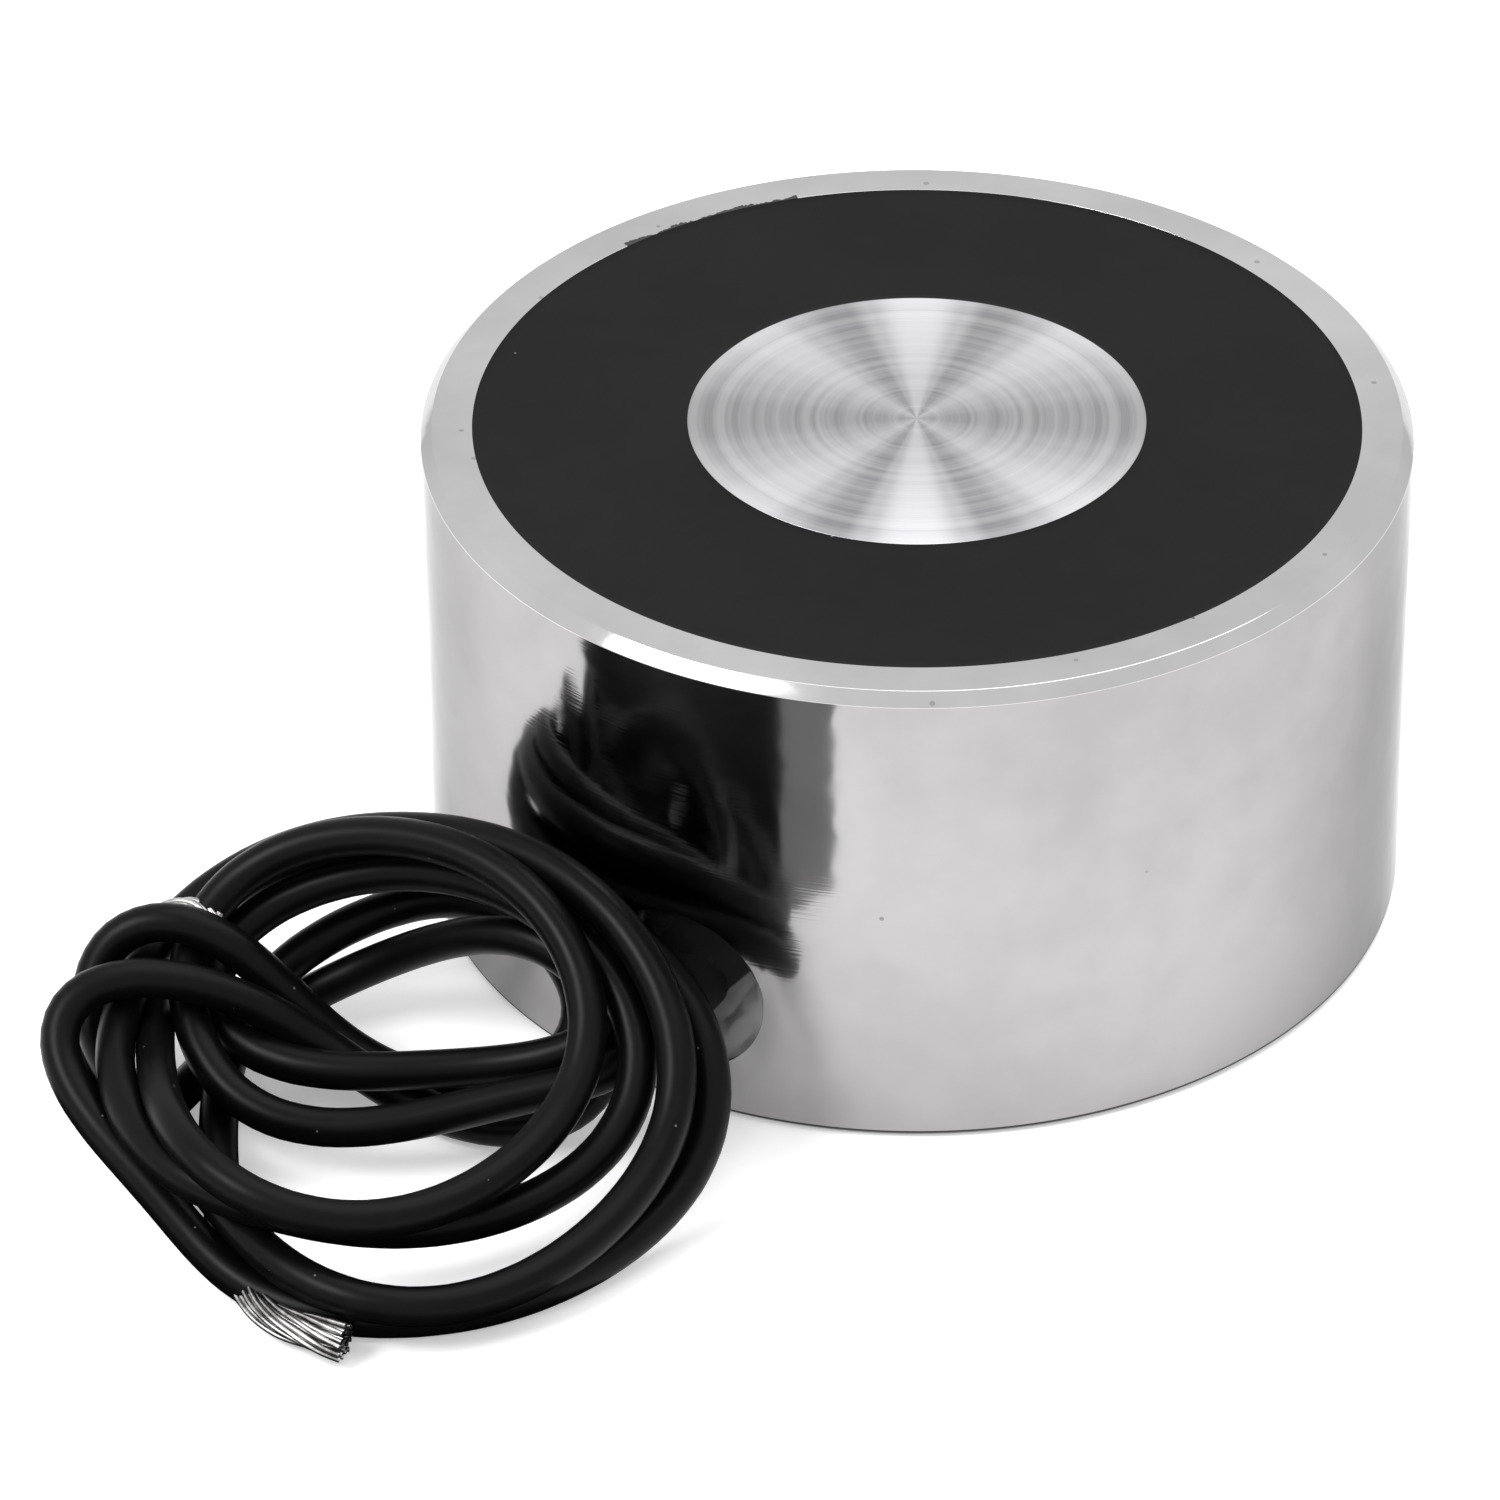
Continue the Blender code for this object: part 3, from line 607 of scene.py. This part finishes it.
def strands_tree():
    tree, given = new_tree("Twist bare strands", [
        ("Strands", "Int", 16), ("Strand radius", "Float", 0.0002),
        ("Bundle radius", "Float", 0.0008), ("Turns", "Float", 0.5), ("Splay", "Float", 0.8),
        ("Seed", "Int", 5), ("Finish", "Material", None)])
    copies = node(tree, "GeometryNodeDuplicateElements", domain="SPLINE")
    chance = node(tree, "FunctionNodeRandomValue", data_type="FLOAT")
    along = node(tree, "GeometryNodeSplineParameter").outputs["Factor"]
    sideways = node(tree, "GeometryNodeInputNormal")
    forward = node(tree, "GeometryNodeInputTangent")
    upward = node(tree, "ShaderNodeVectorMath", operation="CROSS_PRODUCT")
    wire(tree, (given, "Geometry", copies, "Geometry"), (given, "Strands", copies, "Amount"),
         (copies, "Duplicate Index", chance, "ID"), (given, "Seed", chance, "Seed"),
         (forward, 0, upward, 0), (sideways, 0, upward, 1))
    number = copies.outputs["Duplicate Index"]
    luck = next(s for s in chance.outputs if s.type == "VALUE")
    twist = times(tree, times(tree, along, given.outputs["Turns"]), math.tau)
    angle = maths(tree, "ADD", times(tree, number, GOLDEN_ANGLE), twist)
    spread = times(tree, maths(tree, "POWER", along, 2.0), given.outputs["Splay"])
    wild = times(tree, spread, maths(tree, "ADD", luck, 0.5))
    share = maths(tree, "SQRT", maths(tree, "DIVIDE", number, given.outputs["Strands"]))
    reach = times(tree, times(tree, share, given.outputs["Bundle radius"]),
                  maths(tree, "ADD", wild, 1.0))
    both = node(tree, "ShaderNodeVectorMath", operation="ADD")
    for entry, (direction, wave) in enumerate(((sideways, "COSINE"), (upward, "SINE"))):
        scale = node(tree, "ShaderNodeVectorMath", operation="SCALE")
        tree.links.new(times(tree, maths(tree, wave, angle), reach), scale.inputs["Scale"])
        wire(tree, (direction, 0, scale, 0), (scale, 0, both, entry))
    place = node(tree, "GeometryNodeSetPosition")
    circle = node(tree, "GeometryNodeCurvePrimitiveCircle")
    fill(circle, Resolution=8)
    wire(tree, (copies, "Geometry", place, "Geometry"), (both, 0, place, "Offset"),
         (given, "Strand radius", circle, "Radius"))
    return sweep_and_paint(tree, given, place.outputs["Geometry"], circle)

STRANDS = strands_tree()
print("tree", STRANDS.name, "with", len(STRANDS.nodes), "nodes")

# %% Bare ends of the leads
def tinned_finish():
    material, tree, shader, place, cloud, shade = cloudy_start(
        "tinned_strands", 700.0, (0.24, 0.235, 0.23), (0.62, 0.61, 0.60))
    surface(tree, shader, shade, cloud, 0.22, 0.20)
    fill(shader, Metallic=1.0)
    bump(tree, noise(tree, place, 3000.0, 3.0), 0.2, 0.00005, shader)
    return material

TINNED = tinned_finish()
BARE_A = [(-17.3, -74.2, 1.6), (-14.4, -76.4, 1.7), (-11.8, -77.5, 1.9), (-9.4, -77.8, 2.0),
          (-7.4, -77.8, 2.0), (-6.0, -77.6, 2.0)]
BARE_B = [(-39.9, -51.8, 10.4), (-38.7, -50.5, 11.5), (-37.4, -49.6, 12.3), (-35.9, -49.2, 12.6),
          (-34.2, -49.4, 12.0)]

def bare_end(letter, lead_path, places, splay, thickness):
    # Starts well inside the insulation, on the lead's own line
    start = [tuple(np.array(lead_path[index]) / MM) for index in (-4, -2)]
    line = rounded_route(start + places, 0.4) * MM
    name = "bare_strands_" + letter
    item = bake_tree(line_curve(name, line), STRANDS, {
        "Strands": 24, "Strand radius": thickness, "Bundle radius": 0.00088, "Turns": 0.7,
        "Splay": splay, "Seed": 5, "Finish": TINNED}, name)
    smooth_by_angle(item, 50)
    print(name, "faces", len(item.data.polygons), "length, mm", round(line_length(line) / MM, 1))
    return item

bare_a = bare_end("a", leads[0][1], BARE_A, 0.7, 0.00020)
bare_b = bare_end("b", leads[1][1], BARE_B, 0.0, 0.00026)
dress(TINNED, "tinned_end_a", "tinned_end_b")

# %% [markdown]
# The steel pot and pole are turned on a lathe. A turned piece follows a rule, its profile
# taken round the axis, so a short loop makes it: every profile corner is rounded a little,
# as the tool and the plating leave it, because a knife-sharp edge never catches the light.
# The lead outlet is then cut through the wall. The CAD solids have fewer steps round, so
# these finer pieces stand for them at the same size.

# %% Turned pieces
ROUND_STEPS = 288

def rounded_profile(corners, steps=5):
    # Corner points as radius, height and rounding, opened into small arcs
    points = []
    count = len(corners)
    for index, (radius, height, rounding) in enumerate(corners):
        here = Vector((radius, height))
        if rounding == 0:
            points.append(here)
            continue
        before = Vector(corners[(index - 1) % count][:2])
        after = Vector(corners[(index + 1) % count][:2])
        to_before = (before - here).normalized()
        to_after = (after - here).normalized()
        half = to_before.angle(to_after) / 2
        reach = rounding / math.tan(half)
        centre = here + (to_before + to_after).normalized() * (rounding / math.sin(half))
        start = here + to_before * reach - centre
        end = here + to_after * reach - centre
        for step in range(steps + 1):
            share = step / steps
            spoke = start.lerp(end, share)
            points.append(centre + spoke.normalized() * rounding)
    return [(point.x, point.y) for point in points]

def turned_mesh(name, profile, steps=ROUND_STEPS, closed=True):
    # The profile, in millimetres, taken round the Z axis
    verts = []
    faces = []
    count = len(profile)
    for turn_step in range(steps):
        angle = math.tau * turn_step / steps
        verts += [(radius * MM * math.cos(angle), radius * MM * math.sin(angle), height * MM)
                  for radius, height in profile]
    for turn_step in range(steps):
        here = turn_step * count
        there = (turn_step + 1) % steps * count
        for index in range(count if closed else count - 1):
            following = (index + 1) % count
            faces.append((here + index, here + following, there + following, there + index))
    mesh = bpy.data.meshes.new(name)
    mesh.from_pydata(verts, [], faces)
    shape = bmesh.new()
    shape.from_mesh(mesh)
    bmesh.ops.remove_doubles(shape, verts=shape.verts, dist=0.000001)
    bmesh.ops.recalc_face_normals(shape, faces=shape.faces)
    shape.to_mesh(mesh)
    shape.free()
    return mesh

def cut_away(item, cutter):
    # Takes the cutter out of the item for good
    boolean = item.modifiers.new("cut", "BOOLEAN")
    boolean.operation = "DIFFERENCE"
    boolean.solver = "EXACT"
    boolean.object = cutter
    view = bpy.context.evaluated_depsgraph_get()
    mesh = bpy.data.meshes.new_from_object(item.evaluated_get(view))
    item.modifiers.remove(boolean)
    item.data = mesh
    bpy.data.objects.remove(cutter, do_unlink=True)

POT_CORNERS = [
    (34.10, 40.2, 0.03), (37.2, 40.2, 0.12), (38.1, 39.3, 0.12), (38.1, 0.4, 0.10),
    (37.7, 0.0, 0.10), (11.0, 0.0, 0.10), (11.0, 8.8, 0.0), (34.1, 8.8, 0.9)]
OUTLET_DIAMETER = 13.8
OUTLET_HEIGHT = 10.6

pot = add_object("pot_finished", turned_mesh("pot_finished", rounded_profile(POT_CORNERS)))
drill_mesh = turned_mesh("outlet_drill", [(0.0, 33.0), (OUTLET_DIAMETER / 2, 33.0),
                                          (OUTLET_DIAMETER / 2, 42.0), (0.0, 42.0)],
                         steps=120, closed=False)
drill_mesh.transform(Matrix.Translation((0, 0, OUTLET_HEIGHT * MM))
                     @ Matrix.Rotation(math.radians(90), 4, "X"))
cut_away(pot, add_object("outlet_drill", drill_mesh))
smooth_by_angle(pot, 25)
print(pot.name, "faces", len(pot.data.polygons))

# %% The pole
BORE_RADIUS = 3.4
POLE_CORNERS = [
    (0.0, 40.2, 0.0), (17.6, 40.2, 0.03), (17.6, 9.1, 0.1), (10.7, 9.1, 0.0), (10.7, 0.3, 0.0),
    (10.4, 0.0, 0.0), (BORE_RADIUS + 0.8, 0.0, 0.0), (BORE_RADIUS, 0.8, 0.0),
    (BORE_RADIUS, 12.0, 0.0), (0.0, 14.04, 0.0)]
pole = add_object("pole_finished", turned_mesh(
    "pole_finished", rounded_profile(POLE_CORNERS), closed=False))
smooth_by_angle(pole, 25)
print(pole.name, "faces", len(pole.data.polygons))

# %% [markdown]
# The hole in the pole's back takes the mounting screw. A thread is one ridge that climbs
# round the bore, so a small Geometry Nodes tree makes it: a spiral line with a wedge of
# the thread's pitch swept along it.

# %% Thread in the mounting hole
def thread_tree():
    tree, given = new_tree("Climbing ridge", [
        ("Radius", "Float", 0.0034), ("Pitch", "Float", 0.00125), ("Turns", "Float", 8.0),
        ("Ridge", "Float", 0.0004), ("Finish", "Material", None)])
    spiral = node(tree, "GeometryNodeCurveSpiral")
    fill(spiral, Resolution=48)
    wedge = node(tree, "GeometryNodeCurvePrimitiveCircle")
    fill(wedge, Resolution=4)
    wire(tree, (given, "Turns", spiral, "Rotations"), (given, "Radius", spiral, "Start Radius"),
         (given, "Radius", spiral, "End Radius"), (given, "Ridge", wedge, "Radius"))
    climb = times(tree, given.outputs["Pitch"], given.outputs["Turns"])
    tree.links.new(climb, spiral.inputs["Height"])
    return sweep_and_paint(tree, given, spiral.outputs["Curve"], wedge)

THREAD = thread_tree()
THREAD_START = 1.2
thread_holder = add_object("thread_line", bpy.data.curves.new("thread_line", "CURVE"))
thread = bake_tree(thread_holder, THREAD, {
    "Radius": BORE_RADIUS * MM, "Pitch": 1.25 * MM, "Turns": 8.0, "Ridge": 0.40 * MM},
    "mounting_thread")
thread.data.transform(Matrix.Translation((0, 0, THREAD_START * MM)))
smooth_by_angle(thread, 30)
print(thread.name, "faces", len(thread.data.polygons))

# %% [markdown]
# Plated steel is a mirror with small faults: fine turning lines, a little waviness, cloudy
# smudges and tiny pits. The lines run round the part, so they depend on radius and height
# alone. A trace of the black resin sticks to the rim's inner edge.

# %% Finish of the nickel plating
def turning_places(tree, place):
    # Height, distance from the axis and angle round it, for patterns on turned pieces
    parts = node(tree, "ShaderNodeSeparateXYZ")
    tree.links.new(place, parts.inputs[0])
    across = maths(tree, "POWER", parts.outputs["X"], 2.0)
    along = maths(tree, "POWER", parts.outputs["Y"], 2.0)
    radius = maths(tree, "SQRT", maths(tree, "ADD", across, along))
    angle = maths(tree, "ARCTAN2", parts.outputs["Y"], parts.outputs["X"])
    return parts.outputs["Z"], radius, angle

RIM_FROM = 0.03925
FOOT_BELOW = 0.00055
FILM_MIDDLE = math.radians(147.0)
FILM_REACH = math.radians(13.0)

def nickel_finish():
    material, tree, shader, place, cloud, shade = cloudy_start(
        "nickel_plating", 38.0, (0.292, 0.284, 0.288), (0.352, 0.343, 0.347), 0.12)
    height, radius, angle = turning_places(tree, place)
    # The rim and its bevel are painted a little brighter than the wall: a painted reflection
    rim_and_bevel = maths(tree, "GREATER_THAN", height, RIM_FROM)
    rim_painted_light = blend_colours(tree, remap(tree, cloud, 0.38, 0.62),
                              (0.52, 0.512, 0.516), (0.61, 0.60, 0.605))
    shade = blend_colours(tree, rim_and_bevel, shade, rim_painted_light)
    # The edge at the foot is painted dark where it meets the table: a painted contact shadow
    foot = maths(tree, "LESS_THAN", height, FOOT_BELOW)
    shade = blend_colours(tree, foot, shade, (0.05, 0.05, 0.05))
    shade = strew(tree, place, shade, (0.22, 0.22, 0.22), 700.0, 0.16, 0.07,
                  times(tree, rim_and_bevel, 0.5))
    shade = strew(tree, place, shade, (0.20, 0.20, 0.20), 260.0, 0.05, 0.12)
    # The film of resin has a ragged edge and covers one stretch of the rim
    ragged = remap(tree, noise(tree, place, 260.0, 5.0, 0.7), 0.42, 0.72, 0.03412, 0.03490)
    stretch = maths(tree, "COMPARE", angle, FILM_MIDDLE)
    stretch.node.inputs[2].default_value = FILM_REACH
    film = times(tree, times(tree, maths(tree, "LESS_THAN", radius, ragged), rim_and_bevel), stretch)
    shade = blend_colours(tree, film, shade, (0.02, 0.02, 0.02))
    surface(tree, shader, shade, cloud, 0.06, 0.07)
    tree.links.new(maths(tree, "SUBTRACT", 1.0, film), shader.inputs["Metallic"])
    # A worn plating mirrors less at a grazing angle than a perfect metal does
    fill(shader, Specular_Tint=(0.62, 0.62, 0.62, 1.0))
    sweep = maths(tree, "ADD", times(tree, radius, 1.3), times(tree, height, 0.8))
    lines = noise(tree, sweep, 5200.0, 2.0, dimensions="1D")
    waves = noise(tree, place, 150.0, 2.0)
    relief = maths(tree, "ADD", times(tree, lines, 0.03), times(tree, waves, 0.9))
    bump(tree, relief, 1.0, 0.0001, shader)
    return material

NICKEL = nickel_finish()
dress(NICKEL, pot, thread, "pot_shell")
print("finish", NICKEL.name)

# %% [markdown]
# The pole's face is turned bright. Its round grooves spread the light of each lamp into a
# pair of fans that meet in the middle, so a turned face shows bright and dark wedges. The
# grooves are far finer than the mesh, so the finish draws the fans by the angle round the
# axis and adds the grooves as a fine relief by the distance from it.

# %% Finish of the turned pole
FAN_AXIS = math.radians(27.6)
EDGE_GROOVE = 0.0158
FAN_SHADES = [(0.0, 0.82), (0.05, 0.50), (0.11, 0.26), (0.17, 0.27), (0.30, 0.46), (0.44, 0.66),
              (0.56, 0.66), (0.76, 0.52), (0.90, 0.40), (1.0, 0.27)]

def pole_finish():
    material, tree, shader, place = finish_start("turned_pole")
    radius, angle = turning_places(tree, place)[1:]
    lines = noise(tree, radius, 9000.0, 3.0, 0.7, dimensions="1D")
    broad = noise(tree, radius, 900.0, 2.0, 0.6, dimensions="1D")
    # Twice the angle, so that opposite fans are alike: 1 across the light, -1 along it
    turned = maths(tree, "SUBTRACT", angle, FAN_AXIS)
    fans = maths(tree, "COSINE", times(tree, turned, 2.0))
    ramp = node(tree, "ShaderNodeValToRGB")
    ramp.color_ramp.interpolation = "EASE"
    tree.links.new(remap(tree, fans, -1.0, 1.0), ramp.inputs["Fac"])
    while len(ramp.color_ramp.elements) < len(FAN_SHADES):
        ramp.color_ramp.elements.new(0.5)
    for stop, (place_on_ramp, level) in zip(ramp.color_ramp.elements, FAN_SHADES):
        stop.position = place_on_ramp
        stop.color = (level, level * 0.995, level * 1.03, 1.0)
    # Painted shade as well: the fans darken towards the middle of the face
    bright = blend_colours(tree, remap(tree, radius, 0.0, 0.0150, 0.62, 0.0),
                           ramp.outputs["Color"], (0.26, 0.26, 0.27))
    fine = blend_colours(tree, remap(tree, lines, 0.3, 0.7, 0.0, 0.26), bright, (0.40, 0.40, 0.41))
    fine = blend_colours(tree, remap(tree, broad, 0.35, 0.65, 0.0, 0.16), fine, (0.95, 0.95, 0.95))
    edge = maths(tree, "COMPARE", radius, EDGE_GROOVE)
    edge.node.inputs[2].default_value = 0.00012
    fine = blend_colours(tree, times(tree, edge, 0.16), fine, (0.30, 0.30, 0.31))
    tree.links.new(fine, shader.inputs["Base Color"])
    fill(shader, Metallic=1.0, Roughness=0.28)
    bump(tree, lines, 0.08, 0.00003, shader)
    return material

POLE = pole_finish()
dress(POLE, pole, "pole_core")
print("finish", POLE.name, "with", len(FAN_SHADES), "shades in a fan")

# %% [markdown]
# Black resin fills the space between the pole and the rim. It was poured, so it wets both
# steels without a gap, climbs them a little, and its face is slightly uneven. The outlet
# is closed with the same resin, left as it set: a glossy plug that bulges round the leads.

# %% Resin ring and outlet plug
RESIN_CORNERS = [
    (17.59, 40.17, 0.0), (17.9, 40.11, 0.0), (18.4, 40.10, 0.0), (33.3, 40.10, 0.0),
    (33.8, 40.11, 0.0), (34.11, 40.17, 0.0), (34.11, 36.0, 0.0), (33.8, 35.9, 0.0),
    (33.8, 13.5, 0.0), (30.6, 13.5, 0.0), (30.6, 36.0, 0.0), (17.61, 36.0, 0.0)]
resin = add_object("resin_finished", turned_mesh("resin_finished", rounded_profile(RESIN_CORNERS)))
smooth_by_angle(resin, 25)

PLUG_RADIUS = 6.88
PLUG_LEVEL = 37.25
PLUG_BACK = 34.4
PLUG_RINGS = 28
PLUG_STEPS = 96

def plug_face(across, up):
    # How far out the resin stands: level, up at the wall, bulging round the leads, wavy
    radius = math.hypot(across, up)
    climb = 0.45 * (radius / PLUG_RADIUS) ** 5
    bulge = 1.1 * math.exp(-(across / 3.8) ** 2 - ((up - 1.0) / 2.4) ** 2)
    waves = 0.13 * math.sin(1.1 * across + 0.4) * math.cos(0.9 * up - 0.5)
    fold = 0.10 * math.sin(2.3 * across - 1.6 * up)
    return PLUG_LEVEL + climb + bulge + waves + fold

def plug_mesh():
    shape = bmesh.new()
    rings = []
    for ring in range(PLUG_RINGS + 1):
        radius = PLUG_RADIUS * ring / PLUG_RINGS
        row = []
        for step in range(PLUG_STEPS if ring else 1):
            angle = math.tau * step / PLUG_STEPS
            across, up = radius * math.cos(angle), radius * math.sin(angle)
            row.append(shape.verts.new(
                (across * MM, -plug_face(across, up) * MM, (up + OUTLET_HEIGHT) * MM)))
        rings.append(row)
    back = [shape.verts.new((vert.co.x, -PLUG_BACK * MM, vert.co.z)) for vert in rings[-1]]
    for step in range(PLUG_STEPS):
        following = (step + 1) % PLUG_STEPS
        shape.faces.new((rings[0][0], rings[1][step], rings[1][following]))
        for inner, outer in zip(rings[1:], rings[2:] + [back]):
            shape.faces.new((inner[step], outer[step], outer[following], inner[following]))
    shape.faces.new(list(reversed(back)))
    bmesh.ops.recalc_face_normals(shape, faces=shape.faces)
    mesh = bpy.data.meshes.new("plug_finished")
    shape.to_mesh(mesh)
    shape.free()
    return mesh

plug = add_object("plug_finished", plug_mesh())
smooth_by_angle(plug, 40)
print(resin.name, len(resin.data.polygons), "faces,", plug.name, len(plug.data.polygons))

# %% Finish of the black resin
def resin_finish(name, gloss, shine, painted_reflection_side=False):
    material, tree, shader, place, cloud, shade = cloudy_start(
        name, 90.0, (0.0060, 0.0060, 0.0062), (0.0082, 0.0082, 0.0084))
    if painted_reflection_side:
        # The side of the plug that faces away from the coil is painted lighter: a painted
        # reflection
        parts = node(tree, "ShaderNodeSeparateXYZ")
        tree.links.new(place, parts.inputs[0])
        slope = maths(tree, "SUBTRACT", times(tree, parts.outputs["X"], 1.4), parts.outputs["Z"])
        slope = maths(tree, "ADD", slope, times(tree, cloud, 0.004))
        shade = blend_colours(tree, remap(tree, slope, -0.0035, 0.0025), shade,
                              (0.17, 0.17, 0.172))
    shade = strew(tree, place, shade, (0.10, 0.10, 0.10), 500.0, 0.06, 0.05)
    surface(tree, shader, shade, cloud, gloss, 0.08)
    fill(shader, Specular_IOR_Level=shine)
    bump(tree, noise(tree, place, 900.0, 3.0), 0.05, 0.00005, shader)
    return material

RESIN = resin_finish("potting_resin", 0.42, 0.05)
GLOSSY_RESIN = resin_finish("outlet_resin", 0.12, 0.6, painted_reflection_side=True)
dress(RESIN, resin, "resin_ring")
dress(GLOSSY_RESIN, plug, "outlet_plug")
print("finishes", RESIN.name, GLOSSY_RESIN.name)

# %% [markdown]
# The inner pieces don't show on the finished magnet, but anyone who opens the model sees
# them. Each gets its own plain finish: fibre paper, natural nylon, copper and film.

# %% Finishes inside the pot
def inner_finish(name, first, second, scale, rough, metal):
    material, tree, shader, place, cloud, shade = cloudy_start(name, scale, first, second)
    surface(tree, shader, shade, cloud, rough, 0.12)
    fill(shader, Metallic=metal)
    bump(tree, noise(tree, place, 1800.0, 4.0), 0.15, 0.00006, shader)
    return material

WIRE_PITCH = 0.0006

def winding_finish():
    # Close turns of wire, drawn as a fine wave by height, with painted shade between turns
    material, tree, shader, place = finish_start("wound_wire")
    height = turning_places(tree, place)[0]
    wave = maths(tree, "COSINE", times(tree, height, math.tau / WIRE_PITCH))
    shade = blend_colours(tree, remap(tree, wave, -1.0, 1.0), (0.20, 0.06, 0.02),
                          (0.60, 0.24, 0.10))
    tree.links.new(shade, shader.inputs["Base Color"])
    tree.links.new(remap(tree, wave, -1.0, 1.0, 0.45, 0.22), shader.inputs["Roughness"])
    fill(shader, Metallic=1.0)
    bump(tree, wave, 0.5, 0.0001, shader)
    return material

FIBRE = inner_finish("fibre_paper", (0.24, 0.17, 0.09), (0.36, 0.27, 0.15), 400.0, 0.75, 0.0)
NYLON = inner_finish("natural_nylon", (0.68, 0.65, 0.56), (0.76, 0.73, 0.64), 60.0, 0.40, 0.0)
COPPER = inner_finish("enamelled_wire", (0.46, 0.17, 0.06), (0.58, 0.24, 0.10), 300.0, 0.22, 1.0)
FILM = inner_finish("polyester_film", (0.68, 0.50, 0.10), (0.76, 0.60, 0.15), 90.0, 0.18, 0.0)
WOUND = winding_finish()
dress(FIBRE, "base_insulator")
dress(NYLON, "bobbin")
dress(WOUND, "winding")
dress(FILM, "winding_tape")
dress(COPPER, "magnet_wire_a", "magnet_wire_b")
print("inner finishes", [item.name for item in (FIBRE, NYLON, WOUND, FILM, COPPER)])

# %% [markdown]
# The wall's mirror image shows a black patch with a grey edge beside the coil. A dark card
# and a grey one on the table put it there as a painted reflection. Only mirror-like rays
# see them, so they neither show in the picture nor shade the table.

# %% Cards for the wall's mirror image
# Sheets seen only in reflections: a painted reflection of a dark patch with a grey edge
CARDS = [
    ("dark_reflection_card", [(-27.2, -50.9), (-72.0, -84.0), (4.0, -128.0), (7.2, -60.2)], 0.2, 0.004),
    ("grey_reflection_card", [(6.7, -65.0), (4.0, -128.0), (27.7, -128.0), (17.2, -68.0)], 0.15, 0.20)]
for name, corners, above_table, level in CARDS:
    card = flat_sheet(name, corners, above_table, plain_finish(name, level, 1.0, 0.0)[0])
    for ray in ("camera", "diffuse", "transmission", "shadow", "volume_scatter"):
        setattr(card, "visible_" + ray, False)
print("cards", [row[0] for row in CARDS])

# %% Say what rides on what, and hide the CAD pieces they stand for
EXIT_A = (-0.0017, -0.0413, 0.0116)
EXIT_B = (0.0017, -0.0413, 0.0116)
for item, stood_for, slot_name in (
        (pot, "pot_shell", "nickel_plated_steel"), (pole, "pole_core", "nickel_plated_steel"),
        (resin, "resin_ring", "black_epoxy"), (plug, "outlet_plug", "black_epoxy"),
        (bare_a, "tinned_end_a", "tinned_copper"), (bare_b, "tinned_end_b", "tinned_copper")):
    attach(item, "root")
    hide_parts(stood_for)
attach(thread, "root")
for (lead, path), exit_point, stood_for, bare in zip(
        leads, (EXIT_A, EXIT_B), (("lead_a", "lead_coil"), ("lead_b",)), (bare_a, bare_b)):
    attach(lead, "root")
    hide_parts(*stood_for)
